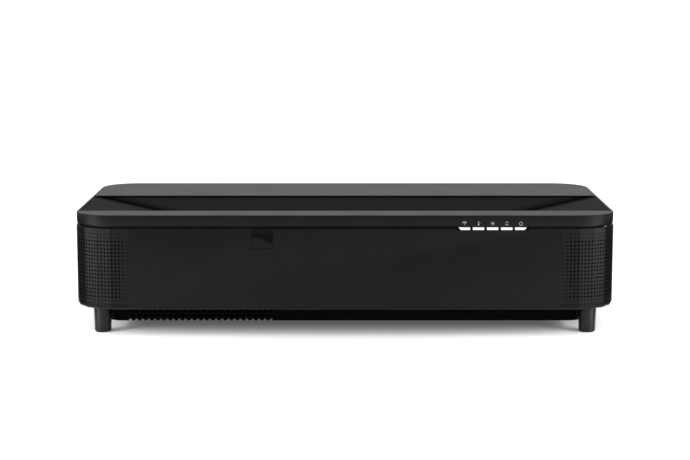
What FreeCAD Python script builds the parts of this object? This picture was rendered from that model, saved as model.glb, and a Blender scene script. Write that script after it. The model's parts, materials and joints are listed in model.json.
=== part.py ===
import FreeCAD, Part
import Sketcher
import math
import os
import re

# Ultra short throw home projector: a wide, low case that stands on four feet.
# Millimetres. X runs to the right seen from the front, Y to the back, Z up.
# The origin is on the table, under the middle of the case.

SIZES = (
    ("case_width", 695, "outside width of the body"),
    ("case_depth", 341, "outside depth of the body"),
    ("case_bottom", 35.4, "underside of the body above the table"),
    ("tray_top", 41, "where the body walls stand on the bottom tray"),
    ("tray_edge_radius", 3.6, "rounding of the tray's lower edge"),
    ("case_top", 140, "top edge of the body walls"),
    ("lid_bottom", 141.3, "lower edge of the lid, above the shadow gap"),
    ("lid_top", 157, "top of the lid"),
    ("wall", 3, "wall of the mouldings"),
    ("corner_span", 48.4, "plan extent of a faceted corner, each way"),
    ("lid_inset", 0.9, "the lid's step back from the body faces"),
    ("lid_radius", 48.1, "plan radius of the lid's corners"),
    ("lid_wall", 6, "thickness of the lid's standing edge"),
    ("lid_edge_radius", 3.6, "rounding of the lid's lower edge"),
    ("lid_top_radius", 1.1, "rounding of the lid's upper edge"),
    ("gasket_inset", 4.4, "the gasket's step back from the body faces"),
    ("rim_depth", 45, "front rim, front to back"),
    ("ramp_back", 198, "back end of the light ramp, from the front"),
    ("ramp_foot", 75.4, "front end of the light ramp, from the front"),
    ("trough_step", 1.8, "drop from the lid's top to the back end of the ramp"),
    ("side_step", 1, "drop from the lid's side lips to the sloping shoulders"),
    ("trough_drop", 30.7, "fall of the ramp from its back end to its foot"),
    ("shoulder_lip", 3, "width of the lip outside each sloping shoulder"),
    ("window_width", 234, "width of the projection window's housing"),
    ("window_floor", 120, "underside of the window's housing"),
    ("window_frame", 5, "frame around the projection window"),
    ("glass", 2.5, "thickness of the projection window"),
    ("cover_edge", 1.2, "thickness of the top cover's overhanging edge"),
    ("grille_flat", 23.6, "flat part of a speaker grille, next to the facets"),
    ("back_return", 10, "flat part of a side wall's return along the back"),
    ("hole_radius", 1.3, "perforation of the speaker grilles"),
    ("small_hole_radius", 0.8, "perforation in the two rows nearest to each edge"),
    ("hole_rows", 20, "rows of perforations"),
    ("hole_first", 42.7, "height of the lowest row"),
    ("hole_last", 132.8, "height of the highest row"),
    ("remote_left", -118.5, "left side of the remote control window"),
    ("remote_width", 27.4, "width of the remote control window"),
    ("remote_bottom", 114.4, "lower edge of the remote control window"),
    ("light_left", 144.3, "left end of the row of status lights"),
    ("light_pitch", 17.9, "spacing of the status lights"),
    ("light_length", 14.4, "length of one status light"),
    ("light_bottom", 138.5, "lower edge of the status lights"),
    ("light_top", 141.2, "upper edge of the status lights"),
    ("light_slant", 2.6, "slant of the row's outer ends"),
    ("skirt_bottom", 11, "lower edge of the base skirt"),
    ("skirt_width", 618, "width of the base skirt"),
    ("skirt_inset", 53, "skirt's step back from the front and the back"),
    ("skirt_radius", 16, "plan radius of the skirt's corners"),
    ("intake_left", -287, "left end of the air intake grille"),
    ("intake_right", -90, "right end of the air intake grille"),
    ("intake_pitch", 8, "spacing of the intake holes"),
    ("intake_radius", 2.2, "radius of an intake hole"),
    ("foot_across", 314.5, "feet, out from the middle plane"),
    ("foot_along", 131.5, "feet, to the front and back of the middle"),
    ("foot_radius", 11.6, "upper radius of a foot"),
    ("foot_tip_radius", 10.8, "lower radius of a foot"),
    ("pad_radius", 9.6, "rubber pad under a foot"),
    ("pad_height", 3, "height of the rubber pad"),
    ("washer_height", 1.5, "friction washer above a foot"),
    ("stud_radius", 4, "threaded stud of a foot"),
    ("running_gap", 0.05, "radial clearance of a running fit"),
    ("stud_top", 62, "top of a foot's stud"),
    ("boss_radius", 13, "bosses that the feet screw into"),
    ("boss_top", 58, "top of the foot bosses"),
    ("fan_size", 92, "side of a fan's square frame"),
    ("fan_depth", 25, "depth of a fan"),
    ("fan_bore", 44, "radius of a fan's air passage"),
    ("fan_hub", 18, "radius of a fan's hub"),
    ("fan_height", 90, "height of the fan axles"),
    ("blade_span", 24, "length of a fan blade from hub to tip"),
    ("blade_chord", 20, "width of a fan blade"),
    ("axle_radius", 2, "radius of the fan axles"),
    ("exhaust_left", 312, "inner face of the exhaust fans"),
    ("intake_fan_left", -328, "outer face of the intake fan"),
    ("lens_height", 82, "height of the optical axis"),
    ("barrel_radius", 34, "outside radius of the lens barrel"),
    ("screw_radius", 3, "radius of the focus screw"),
    ("screw_across", 56, "focus screw, right of the optical axis"),
    ("wheel_radius", 32, "radius of the phosphor wheel"),
    ("wheel_across", 135, "phosphor wheel axle, right of the middle"),
    ("button_across", 268, "power button, right of the middle"),
    ("button_height", 118, "height of the power button"),
    ("button_radius", 7, "radius of the power button"),
    ("port_height", 62, "height of the sockets"),
    ("filter_gap", 0.3, "clearance around the filter's cover"),
    ("filter_back", 40, "back end of the filter's cover"),
    ("speaker_across", 320, "speaker face, out from the middle plane"),
    ("speaker_along", 143, "speaker face, forward of the middle"),
    ("speaker_width", 64, "width of a speaker box"),
    ("speaker_bottom", 64, "underside of a speaker box"),
    ("speaker_height", 70, "height of a speaker box"),
)

# Directions that a corner's facets face, in degrees from the front or back towards the side.
FACINGS = (15, 35, 55, 75)
COLUMNS_PER_FACET = 4
FADE = (1, 1, 1, 0.78, 0.52)
BLADES = 7
BLADE_PITCH = 34

UP = FreeCAD.Vector(0, 0, 1)
NO_TURN = FreeCAD.Rotation()
TURNS = {
    "x": FreeCAD.Rotation(FreeCAD.Vector(0, 1, 0), 90),
    "y": FreeCAD.Rotation(FreeCAD.Vector(1, 0, 0), -90),
    "z": NO_TURN,
}
ALIASES = {alias for alias, number, note in SIZES}
WORD = re.compile(r"[a-z][a-z_]+")

doc = FreeCAD.newDocument("home_projector")
sheet = doc.addObject("Spreadsheet::Sheet", "Sizes")
nodes = {}


# ---------------------------------------------------------------- helpers

def write_sizes():
    for row, (alias, number, note) in enumerate(SIZES, start=1):
        sheet.set("A%d" % row, alias)
        sheet.set("B%d" % row, str(number))
        sheet.set("C%d" % row, note)
        sheet.setAlias("B%d" % row, alias)
    doc.recompute()


def value(alias):
    return float(sheet.get(alias))


def bound(text):
    """An expression's text, with the sheet's name before each of its aliases."""
    def named(found):
        word = found.group()
        return "Sizes." + word if word in ALIASES else word

    return WORD.sub(named, text)


def place(item, spot, turn=NO_TURN):
    """Turns an object, and binds the place of its origin to three texts."""
    item.Placement = FreeCAD.Placement(FreeCAD.Vector(), turn)
    for axis, text in zip("xyz", spot):
        item.setExpression("Placement.Base." + axis, bound(text))
    return item


def block(name, across, along, upright):
    """A box between two texts on each axis."""
    item = doc.addObject("Part::Box", name)
    spans = (across, along, upright)
    for side, (low, high) in zip(("Length", "Width", "Height"), spans):
        item.setExpression(side, bound("(%s) - (%s)" % (high, low)))
    return place(item, [low for low, high in spans])


def rod(name, axis, span, radius, centre):
    """A cylinder along a row axis; centre gives its other two coordinates."""
    item = doc.addObject("Part::Cylinder", name)
    item.setExpression("Radius", bound(radius))
    item.setExpression("Height", bound("(%s) - (%s)" % (span[1], span[0])))
    spot = list(centre)
    spot.insert("xyz".index(axis), span[0])
    return place(item, spot, TURNS[axis])


def fuse(name, items):
    item = doc.addObject("Part::MultiFuse", name)
    item.Shapes = items
    item.Refine = True
    return item


def group(name, items):
    item = doc.addObject("Part::Compound", name)
    item.Links = items
    return item


def cut(name, base, tools):
    item = doc.addObject("Part::Cut", name)
    item.Base = base
    item.Tool = tools[0] if len(tools) == 1 else group(name + "_tools", tools)
    item.Refine = True
    return item


def common(name, base, tool):
    item = doc.addObject("Part::Common", name)
    item.Base = base
    item.Tool = tool
    item.Refine = True
    return item


def fixed(name, shape, placement=None):
    """A shape made directly, for what neither a body nor a primitive can hold."""
    item = doc.addObject("Part::Feature", name)
    item.Shape = shape
    if placement:
        item.Placement = placement
    return item


def outline(body, role, loops):
    """A sketch of closed straight-sided loops, each corner held to the sheet by two distances."""
    sketch = body.newObject("Sketcher::SketchObject", body.Name + "_outline")
    plane = [face for face in body.Origin.OriginFeatures if face.Role == role][0]
    sketch.AttachmentSupport = [(plane, "")]
    sketch.MapMode = "FlatFace"
    first = 0
    for corners in loops:
        count = len(corners)
        turns = [2 * math.pi * (step + 0.3) / count for step in range(count)]
        rough = [FreeCAD.Vector(math.cos(turn), math.sin(turn), 0) for turn in turns]
        for step in range(count):
            sketch.addGeometry(Part.LineSegment(rough[step], rough[(step + 1) % count]))
        for step in range(count):
            after = first + (step + 1) % count
            sketch.addConstraint(Sketcher.Constraint("Coincident", first + step, 2, after, 1))
        for step, corner in enumerate(corners):
            for kind, text in zip(("DistanceX", "DistanceY"), corner):
                place_in_list = sketch.addConstraint(Sketcher.Constraint(kind, -1, 1, first + step, 1, 1.0))
                sketch.setExpression("Constraints[%d]" % place_in_list, bound(text))
        first += count
    return sketch


def padded(name, role, loops, length, spot):
    """A PartDesign body: the sketched loops, padded. On XZ_Plane the pad runs towards the front."""
    body = doc.addObject("PartDesign::Body", name)
    sketch = outline(body, role, loops)
    pad = body.newObject("PartDesign::Pad", name + "_pad")
    pad.Profile = sketch
    pad.setExpression("Length", bound(length))
    return place(body, spot)


def turned(name, corners, spot, turn=NO_TURN):
    """A PartDesign body of revolution: corners are radius and height."""
    body = doc.addObject("PartDesign::Body", name)
    sketch = outline(body, "XZ_Plane", [corners])
    revolution = body.newObject("PartDesign::Revolution", name + "_turn")
    revolution.Profile = sketch
    revolution.ReferenceAxis = (sketch, ["V_Axis"])
    revolution.Angle = 360
    return place(body, spot, turn)


def rounded(body, radius, keep):
    """Rounds the edges of a body's last feature that keep() picks."""
    doc.recompute()
    base = body.Tip
    names = ["Edge%d" % step for step, edge in enumerate(base.Shape.Edges, start=1) if keep(edge)]
    fillet = body.newObject("PartDesign::Fillet", body.Name + "_fillet_" + radius)
    fillet.Base = (base, names)
    fillet.setExpression("Radius", bound(radius))
    return body


def rectangle(across, along):
    return [
        (across[0], along[0]),
        (across[1], along[0]),
        (across[1], along[1]),
        (across[0], along[1]),
    ]


def upright_edge(edge):
    box = edge.BoundBox
    return box.XLength < 1e-6 and box.YLength < 1e-6


def level_edge(height):
    """A test for edges that lie at one height of the body's own frame."""
    return lambda edge: abs(edge.BoundBox.ZMin - height) < 1e-6 and abs(edge.BoundBox.ZMax - height) < 1e-6


def rounded_block(name, across, along, upright, radius):
    """A block whose four upright edges are rounded."""
    height = "(%s) - (%s)" % (upright[1], upright[0])
    body = padded(name, "XY_Plane", [rectangle(across, along)], height, ("0", "0", upright[0]))
    return rounded(body, radius, upright_edge)


def negative(text):
    return "-(%s)" % text


def node(item):
    """Keeps an object as a sub-part: its name is its label and its file's name."""
    item.Label = item.Name
    nodes[item.Name] = item
    return item


# ---------------------------------------------------------------- faceted case outline

def facet_shares():
    """Shares of the corner's extent covered at each vertex, sideways and away from the front."""
    total = sum(math.cos(math.radians(facing)) for facing in FACINGS)
    shares = [(0, 0)]
    for facing in FACINGS:
        reach, fall = shares[-1]
        turn = math.radians(facing)
        shares.append((reach + math.cos(turn) / total, fall + math.sin(turn) / total))
    return shares


def faceted_corner(side, end, inset):
    """The five vertices of one corner of the case, from its front or back face round to its side.

    side is 1 on the right and -1 on the left, end is -1 at the front and 1 at the back, and
    inset is how far the outline is moved inwards. The move follows the mitre at each vertex.
    """
    facing = [0, *FACINGS, 90]
    vertices = []
    for step, (reach, fall) in enumerate(facet_shares()):
        before = math.radians(facing[step])
        after = math.radians(facing[step + 1])
        spread = 1 + math.cos(after - before)
        across = (math.sin(before) + math.sin(after)) / spread
        along = (math.cos(before) + math.cos(after)) / spread
        form = "%d * (%s / 2 - corner_span * %.7f - (%s) * %.7f)"
        x_text = form % (side, "case_width", 1 - reach, inset, across)
        y_text = form % (end, "case_depth", fall, inset, along)
        vertices.append((x_text, y_text))
    return vertices


def case_outline(inset):
    """The case's plan, anticlockwise from the front right corner."""
    right = faceted_corner(1, -1, inset) + faceted_corner(1, 1, inset)[::-1]
    left = faceted_corner(-1, 1, inset) + faceted_corner(-1, -1, inset)[::-1]
    return right + left


def wrap_outline(side, end, front_text, side_text):
    """The plan of a wall that wraps one corner, from front_text on X to side_text on Y."""
    face = "%d * case_depth / 2" % end
    inner_face = "%d * (case_depth / 2 - wall)" % end
    flank = "%d * case_width / 2" % side
    inner_flank = "%d * (case_width / 2 - wall)" % side
    outer = [(front_text, face)] + faceted_corner(side, end, "0") + [(flank, side_text)]
    inner = [(inner_flank, side_text)] + faceted_corner(side, end, "wall")[::-1]
    return outer + inner + [(front_text, inner_face)]


# ---------------------------------------------------------------- base

def foot_spots(end):
    along = "%d * foot_along" % end
    return [(negative("foot_across"), along), ("foot_across", along)]


CASE_SCREWS = (
    ("-297", "0"),
    ("297", "0"),
    ("-200", "-150"),
    ("200", "-150"),
    ("-200", "150"),
    ("200", "150"),
)


def base_tray():
    spot = ("0", "0", "case_bottom")
    plate = padded("tray_plate", "XY_Plane", [case_outline("0")], "tray_top - case_bottom", spot)
    rounded(plate, "tray_edge_radius", level_edge(0))
    bosses = []
    holes = []
    for step, spot in enumerate(foot_spots(-1)):
        bosses.append(rod("front_boss_%d" % step, "z", ("tray_top - 1", "boss_top"), "boss_radius", spot))
        span = ("case_bottom - 1", "boss_top + 1")
        holes.append(rod("front_hole_%d" % step, "z", span, "stud_radius + running_gap", spot))
    for step, spot in enumerate(CASE_SCREWS):
        bosses.append(rod("screw_boss_%d" % step, "z", ("tray_top - 1", "tray_top + 10"), "5", spot))
        holes.append(rod("screw_hole_%d" % step, "z", ("case_bottom - 1", "tray_top + 11"), "2.1", spot))
    for row in range(8):
        for column in range(3):
            left = "%d" % (-280 + 58 * column)
            front = "%d" % (-95 + 14 * row)
            slot = block(
                "tray_slot_%d_%d" % (row, column),
                (left, left + " + 50"),
                (front, front + " + 7"),
                ("case_bottom - 1", "tray_top + 1"),
            )
            holes.append(slot)
    return node(cut("base_tray", fuse("tray_body", [plate] + bosses), holes))


def case_screws():
    screws = []
    for step, spot in enumerate(CASE_SCREWS):
        x_text, y_text = spot
        corners = [("0", "0"), ("3.5", "0"), ("3.5", "2"), ("2", "2"), ("2", "13"), ("0", "13")]
        screws.append(turned("case_screw_%d" % step, corners, (x_text, y_text, "case_bottom - 2")))
    return node(group("case_screws", screws))


def skirt_half(inset):
    half_width = "skirt_width / 2 - (%s)" % inset
    half_depth = "case_depth / 2 - skirt_inset - (%s)" % inset
    return (negative(half_width), half_width), (negative(half_depth), half_depth)


def base_skirt():
    across, along = skirt_half("0")
    outer = rounded_block("skirt_outer", across, along, ("skirt_bottom", "case_bottom"), "skirt_radius")
    across, along = skirt_half("wall")
    height = ("skirt_bottom - 1", "case_bottom + 1")
    inner = rounded_block("skirt_inner", across, along, height, "skirt_radius - wall")
    front = negative("case_depth / 2 - skirt_inset")
    gap = block("intake_zone", ("intake_left", "intake_right"), (front + " - 1", front + " + wall"), height)
    return node(cut("base_skirt", outer, [inner, gap]))


def underside_plate():
    across, along = skirt_half("wall")
    height = ("skirt_bottom + 3", "skirt_bottom + 5")
    return node(rounded_block("underside_plate", across, along, height, "skirt_radius - wall"))


def intake_grille():
    """Staggered round holes over a scalloped lower edge."""
    front = negative("case_depth / 2 - skirt_inset")
    span = ("intake_left", "intake_right")
    plate = block("intake_plate", span, (front, front + " + wall"), ("skirt_bottom", "case_bottom"))
    y_start = -(value("case_depth") / 2 - value("skirt_inset")) - 1
    pitch = value("intake_pitch")
    columns = int((value("intake_right") - value("intake_left")) / pitch)
    margin = (value("intake_right") - value("intake_left") - (columns - 1) * pitch) / 2
    inwards = FreeCAD.Vector(0, 1, 0)
    drills = []
    for row in range(4):
        z = value("skirt_bottom") + row * pitch * 0.8
        stagger = pitch / 2 if row % 2 else 0
        for column in range(columns - row % 2):
            x = value("intake_left") + margin + stagger + column * pitch
            spot = FreeCAD.Vector(x, y_start, z)
            drills.append(Part.makeCylinder(value("intake_radius"), value("wall") + 2, spot, inwards))
    return node(cut("intake_grille", plate, [fixed("intake_drills", Part.makeCompound(drills))]))


# ---------------------------------------------------------------- body walls

def front_panel():
    """The flat front, notched for the remote window and the status lights."""
    left = negative("case_width / 2 - corner_span - grille_flat")
    right = "case_width / 2 - corner_span - grille_flat"
    lights_left = "light_left - light_slant"
    lights_right = "light_left + 4 * light_pitch + light_length + light_slant"
    loop = [
        (left, "tray_top"),
        (right, "tray_top"),
        (right, "case_top"),
        (lights_right, "case_top"),
        (lights_right, "light_bottom - 1.2"),
        (lights_left, "light_bottom - 1.2"),
        (lights_left, "case_top"),
        ("remote_left + remote_width", "case_top"),
        ("remote_left + remote_width", "remote_bottom"),
        ("remote_left", "remote_bottom"),
        ("remote_left", "case_top"),
        (left, "case_top"),
    ]
    return node(padded("front_panel", "XZ_Plane", [loop], "wall", ("0", "wall - case_depth / 2", "0")))


def grille_columns():
    """Place, outward direction and size factor of each column of perforations, right front corner."""
    span = value("corner_span")
    inner_x = value("case_width") / 2 - span
    front_y = -value("case_depth") / 2
    columns = []
    for step, factor in enumerate(FADE):
        offset = (step + 0.5) * value("grille_flat") / len(FADE)
        columns.append((inner_x - offset, front_y, 0, factor))
        columns.append((inner_x + span, front_y + span + offset, 90, factor))
    shares = facet_shares()
    for facing, (reach, fall), (next_reach, next_fall) in zip(FACINGS, shares, shares[1:]):
        for step in range(COLUMNS_PER_FACET):
            part = (step + 0.5) / COLUMNS_PER_FACET
            x = inner_x + span * (reach + part * (next_reach - reach))
            y = front_y + span * (fall + part * (next_fall - fall))
            columns.append((x, y, facing, 1))
    return columns


def grille_drills(side):
    rows = int(value("hole_rows"))
    step_up = (value("hole_last") - value("hole_first")) / (rows - 1)
    drills = []
    for x, y, facing, factor in grille_columns():
        turn = math.radians(facing)
        outward = FreeCAD.Vector(side * math.sin(turn), -math.cos(turn), 0)
        for row in range(rows):
            edge_row = row < 2 or row >= rows - 2
            radius = value("small_hole_radius") if edge_row else value("hole_radius")
            start = FreeCAD.Vector(side * x, y, value("hole_first") + row * step_up) + outward
            drills.append(Part.makeCylinder(radius * factor, value("wall") + 3, start, outward * -1))
    return Part.makeCompound(drills)


def speaker_grille(name, side):
    """The perforated wall that wraps a front corner."""
    front_text = "%d * (case_width / 2 - corner_span - grille_flat)" % side
    side_text = negative("case_depth / 2 - corner_span - grille_flat")
    loop = wrap_outline(side, -1, front_text, side_text)
    shell = padded(name + "_shell", "XY_Plane", [loop], "case_top - tray_top", ("0", "0", "tray_top"))
    return node(cut(name, shell, [fixed(name + "_drills", grille_drills(side))]))


def vent_slots(name, flank, start, columns):
    """Rows of level slots through a side wall. flank is the span across the wall."""
    slots = []
    for row in range(9):
        for column in range(columns):
            low = "hole_first + %g" % (8 + 9.36 * row)
            front = "%s + %d" % (start, 62 * column)
            along = (front, front + " + 54")
            slots.append(block("%s_slot_%d_%d" % (name, row, column), flank, along, (low, low + " + 4.7")))
    return slots


def right_side_panel():
    """The right wall and the right back corner, with the exhaust slots."""
    side_text = negative("case_depth / 2 - corner_span - grille_flat")
    loop = wrap_outline(1, 1, "case_width / 2 - corner_span - back_return", side_text)
    shell = padded("right_wall", "XY_Plane", [loop], "case_top - tray_top", ("0", "0", "tray_top"))
    flank = ("case_width / 2 - wall - 1", "case_width / 2 + 1")
    return node(cut("right_side_panel", shell, vent_slots("exhaust", flank, side_text + " + 14", 3)))


def left_side_panel():
    """The left back corner, behind the filter's cover."""
    back_text = negative("case_width / 2 - corner_span - back_return")
    loop = wrap_outline(-1, 1, back_text, "filter_back")
    return node(padded("left_side_panel", "XY_Plane", [loop], "case_top - tray_top", ("0", "0", "tray_top")))


# Sockets along the back, each given by its centre on X and its opening's width and height.
HDMI_SOCKETS = (110, 134, 158)
HDMI_SIZE = (15, 5.6)
USB_SOCKETS = (182, 204)
USB_SIZE = (13.2, 6)
OPTICAL_SOCKET = 226
OPTICAL_SIZE = (9.6, 9.6)
AUDIO_JACK = 243
JACK_RADIUS = 1.75
INLET_CENTRE = -250
INLET_SIZE = (27.6, 20.4)


def socket_window(name, centre, size):
    half_width = size[0] / 2
    half_height = size[1] / 2
    across = ("%g" % (centre - half_width), "%g" % (centre + half_width))
    upright = ("port_height - %g" % half_height, "port_height + %g" % half_height)
    return block(name, across, ("case_depth / 2 - wall - 1", "case_depth / 2 + 1"), upright)


def rear_panel():
    half = "case_width / 2 - corner_span - back_return"
    loop = rectangle((negative(half), half), ("tray_top", "case_top"))
    plate = padded("rear_plate", "XZ_Plane", [loop], "wall", ("0", "case_depth / 2", "0"))
    windows = [socket_window("hdmi_window_%d" % centre, centre, HDMI_SIZE) for centre in HDMI_SOCKETS]
    windows += [socket_window("usb_window_%d" % centre, centre, USB_SIZE) for centre in USB_SOCKETS]
    windows.append(socket_window("optical_window", OPTICAL_SOCKET, OPTICAL_SIZE))
    windows.append(socket_window("inlet_window", INLET_CENTRE, INLET_SIZE))
    through = ("case_depth / 2 - wall - 1", "case_depth / 2 + 1")
    windows.append(rod("jack_window", "y", through, "3.6", ("%g" % AUDIO_JACK, "port_height")))
    button_spot = ("button_across", "button_height")
    windows.append(rod("button_window", "y", through, "button_radius + 0.3", button_spot))
    for row in range(8):
        for column in range(4):
            left = "%d" % (-150 + 56 * column)
            low = "hole_first + %g" % (14 + 9.36 * row)
            name = "rear_slot_%d_%d" % (row, column)
            windows.append(block(name, (left, left + " + 48"), through, (low, low + " + 4")))
    return node(cut("rear_panel", plate, windows))


def seam_gasket():
    """The dark ring that closes the shadow gap between the body and the lid."""
    loops = [case_outline("gasket_inset"), case_outline("gasket_inset + 3")]
    return node(padded("seam_gasket", "XY_Plane", loops, "lid_bottom - case_top", ("0", "0", "case_top")))


# ---------------------------------------------------------------- lid

FRONT = "-case_depth / 2"
RIM_BACK = "rim_depth - case_depth / 2"
RAMP_BACK = "ramp_back - case_depth / 2"
LIP_ACROSS = "case_width / 2 - lid_inset - shoulder_lip"


def lid_blank():
    """The whole lid's outside, before it is divided into rim, shoulders and cover."""
    half_width = "case_width / 2 - lid_inset"
    half_depth = "case_depth / 2 - lid_inset"
    across = (negative(half_width), half_width)
    along = (negative(half_depth), half_depth)
    body = rounded_block("lid_blank", across, along, ("lid_bottom", "lid_top"), "lid_radius")
    rounded(body, "lid_edge_radius", level_edge(0))
    return rounded(body, "lid_top_radius", level_edge(value("lid_top") - value("lid_bottom")))


def lid_shell(blank):
    half_width = "case_width / 2 - lid_inset - lid_wall"
    half_depth = "case_depth / 2 - lid_inset - lid_wall"
    across = (negative(half_width), half_width)
    along = (negative(half_depth), half_depth)
    height = ("lid_bottom - 1", "lid_top - wall")
    hollow = rounded_block("lid_hollow", across, along, height, "lid_radius - lid_wall")
    return cut("lid_shell", blank, [hollow])


class Trough:
    """The planes of the light trough: the ramp, and a shoulder on each side that falls inwards."""

    def __init__(self):
        self.top = value("lid_top") - value("trough_step")
        self.edge = value("lid_top") - value("side_step")
        self.low = self.top - value("trough_drop")
        self.front = -value("case_depth") / 2
        self.back = self.front + value("ramp_back")
        self.foot = self.front + value("ramp_foot")
        self.rim = self.front + value("rim_depth")
        self.outer = value("case_width") / 2 - value("lid_inset") - value("shoulder_lip")
        self.inner = value("window_width") / 2
        fall = (self.edge - self.top) / (self.edge - self.low)
        self.crease = self.outer - fall * (self.outer - self.inner)

    def shoulder(self, side):
        """The shoulder's corners: two at the rim, the ramp's foot, the crease's end and the outer back."""
        return [
            FreeCAD.Vector(side * self.outer, self.rim, self.edge),
            FreeCAD.Vector(side * self.inner, self.rim, self.low),
            FreeCAD.Vector(side * self.inner, self.foot, self.low),
            FreeCAD.Vector(side * self.crease, self.back, self.top),
            FreeCAD.Vector(side * self.outer, self.back, self.edge),
        ]

    def ramp(self):
        return [
            FreeCAD.Vector(-self.crease, self.back, self.top),
            FreeCAD.Vector(-self.inner, self.foot, self.low),
            FreeCAD.Vector(self.inner, self.foot, self.low),
            FreeCAD.Vector(self.crease, self.back, self.top),
        ]


def slab(corners, height):
    """The upright prism between a flat outline and the same outline moved by height."""
    face = Part.Face(Part.makePolygon(corners + corners[:1]))
    return face.extrude(UP * height)


def front_rim(shell):
    """The lid's front: band, top strip and the wall that closes its back."""
    zone = block("rim_zone", ("-400", "400"), (FRONT + " - 1", RIM_BACK), ("100", "200"))
    strip = common("rim_strip", shell, zone)
    deep = "lid_top - trough_step - trough_drop - wall"
    half = "window_width / 2"
    edge = "lid_top - side_step - wall"
    loop = [
        (negative(LIP_ACROSS), edge),
        (negative(half), deep),
        (half, deep),
        (LIP_ACROSS, edge),
        (LIP_ACROSS, "lid_top - 1"),
        (negative(LIP_ACROSS), "lid_top - 1"),
    ]
    back = padded("rim_back", "XZ_Plane", [loop], "wall", ("0", RIM_BACK, "0"))
    windows = []
    for side in (-1, 1):
        left = "%d * 190 - 8" % side
        along = (RIM_BACK + " - wall - 1", RIM_BACK + " + 1")
        across = (left, left + " + 16")
        windows.append(block("sensor_window_%d" % (side + 1), across, along, ("144.5", "151.5")))
    return node(cut("front_rim", fuse("rim_body", [strip, back]), windows))


def obstacle_sensors():
    """Two dark windows in the rim's back wall, which look across the light's path."""
    lenses = []
    for side in (-1, 1):
        left = "%d * 190 - 8" % side
        along = (RIM_BACK + " - wall", RIM_BACK + " + 0.4")
        across = (left, left + " + 16")
        lenses.append(block("sensor_lens_%d" % (side + 1), across, along, ("144.5", "151.5")))
    return node(group("obstacle_sensors", lenses))


def shoulder(name, side, shell, trough):
    """One side of the lid: its band and lip, and the plate that falls towards the ramp."""
    spans = sorted((side * (value("case_width") / 2 - value("lid_inset") - value("lid_wall")), side * 400))
    zone = block(name + "_zone", ("%g" % spans[0], "%g" % spans[1]), (RIM_BACK, RAMP_BACK), ("100", "200"))
    band = common(name + "_band", shell, zone)
    corners = trough.shoulder(side)
    clearance = fixed(name + "_clearance", slab(corners, value("lid_top")))
    plate = fixed(name + "_plate", slab(corners, -value("wall")))
    return node(cut(name, fuse(name + "_body", [band, plate]), [clearance]))


def trough_ramp(trough):
    """The matt plate that rises from the window to the top cover."""
    return node(fixed("trough_ramp", slab(trough.ramp(), -value("wall"))))


def top_cover(shell):
    """The lid's back half. Its front edge overhangs the ramp as a thin lip."""
    zone = block("cover_zone", ("-400", "400"), (RAMP_BACK, "case_depth"), ("100", "200"))
    plate = common("cover_plate", shell, zone)
    wall_front = RAMP_BACK + " + 4"
    across = (negative(LIP_ACROSS), LIP_ACROSS)
    web = block("cover_web", across, (wall_front, wall_front + " + wall"), ("lid_bottom + 2", "lid_top - 1"))
    undercut_span = (RAMP_BACK + " - 1", wall_front)
    undercut = block("cover_undercut", across, undercut_span, ("lid_bottom", "lid_top - cover_edge"))
    return node(cut("top_cover", fuse("cover_body", [plate, web]), [undercut]))


def window_housing():
    """The wedge-shaped housing that holds the projection window, and the window itself."""
    rim = value("rim_depth") - value("case_depth") / 2
    foot = value("ramp_foot") - value("case_depth") / 2
    top = value("lid_top") - value("trough_step") - 1
    low = value("lid_top") - value("trough_step") - value("trough_drop")
    floor = value("window_floor")
    frame = value("window_frame")
    half = value("window_width") / 2

    def wedge(start_y, start_z, end_y, end_z, base_z, half_width):
        corners = [
            FreeCAD.Vector(-half_width, start_y, base_z),
            FreeCAD.Vector(-half_width, start_y, start_z),
            FreeCAD.Vector(-half_width, end_y, end_z),
            FreeCAD.Vector(-half_width, end_y, base_z),
        ]
        face = Part.Face(Part.makePolygon(corners + corners[:1]))
        return face.extrude(FreeCAD.Vector(2 * half_width, 0, 0))

    outer = wedge(rim, top, foot, low, floor, half)
    slope = FreeCAD.Vector(0, foot - rim, low - top)
    length = slope.Length
    slope.normalize()
    square = FreeCAD.Vector(0, -slope.z, slope.y)

    def slanted(start, end, depth_low, depth_high, half_width):
        """A plate parallel to the window, measured along and square to its slope."""
        first = FreeCAD.Vector(-half_width, rim, top) + slope * start + square * depth_low
        along = slope * (end - start)
        deep = square * (depth_high - depth_low)
        corners = [first, first + along, first + along + deep, first + deep]
        face = Part.Face(Part.makePolygon(corners + corners[:1]))
        return face.extrude(FreeCAD.Vector(2 * half_width, 0, 0))

    opening = slanted(frame, length - frame, -60, 1, half - frame)
    inside = wedge(rim + 2, top - 2, foot - 2, low, floor - 1, half - frame)
    cavity = opening.common(inside)
    seat = slanted(frame - 2, length - frame + 2, -value("glass") - 0.5, 1, half - frame + 2)
    blank = fixed("bezel_blank", outer)
    tool = fixed("bezel_opening", cavity.fuse(opening.common(outer)).fuse(seat))
    node(cut("window_bezel", blank, [tool]))
    pane = slanted(frame - 2, length - frame + 2, -value("glass") - 0.5, -0.5, half - frame + 2)
    node(fixed("projection_window", pane))


# ---------------------------------------------------------------- front details

def remote_window():
    """The dark window that the remote control's signal comes in by."""
    across = ("remote_left", "remote_left + remote_width")
    loop = rectangle(across, ("remote_bottom", "case_top"))
    front = "0.3 - case_depth / 2"
    body = padded("remote_window", "XZ_Plane", [loop], "wall - 0.3", ("0", front + " + wall - 0.3", "0"))
    return node(body)


def status_lights():
    """Light guides of the status lights; the row's outer ends slant inwards going down."""
    bars = []
    for step in range(5):
        left = "light_left + %d * light_pitch" % step
        right = left + " + light_length"
        low_left = left + (" + light_slant" if step == 0 else "")
        low_right = right + (" - light_slant" if step == 4 else "")
        loop = [
            (low_left, "light_bottom"),
            (low_right, "light_bottom"),
            (right, "light_top"),
            (left, "light_top"),
        ]
        spot = ("0", "4.3 - case_depth / 2", "0")
        bars.append(padded("status_light_%d" % step, "XZ_Plane", [loop], "4", spot))
    return node(group("status_lights", bars))


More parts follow.
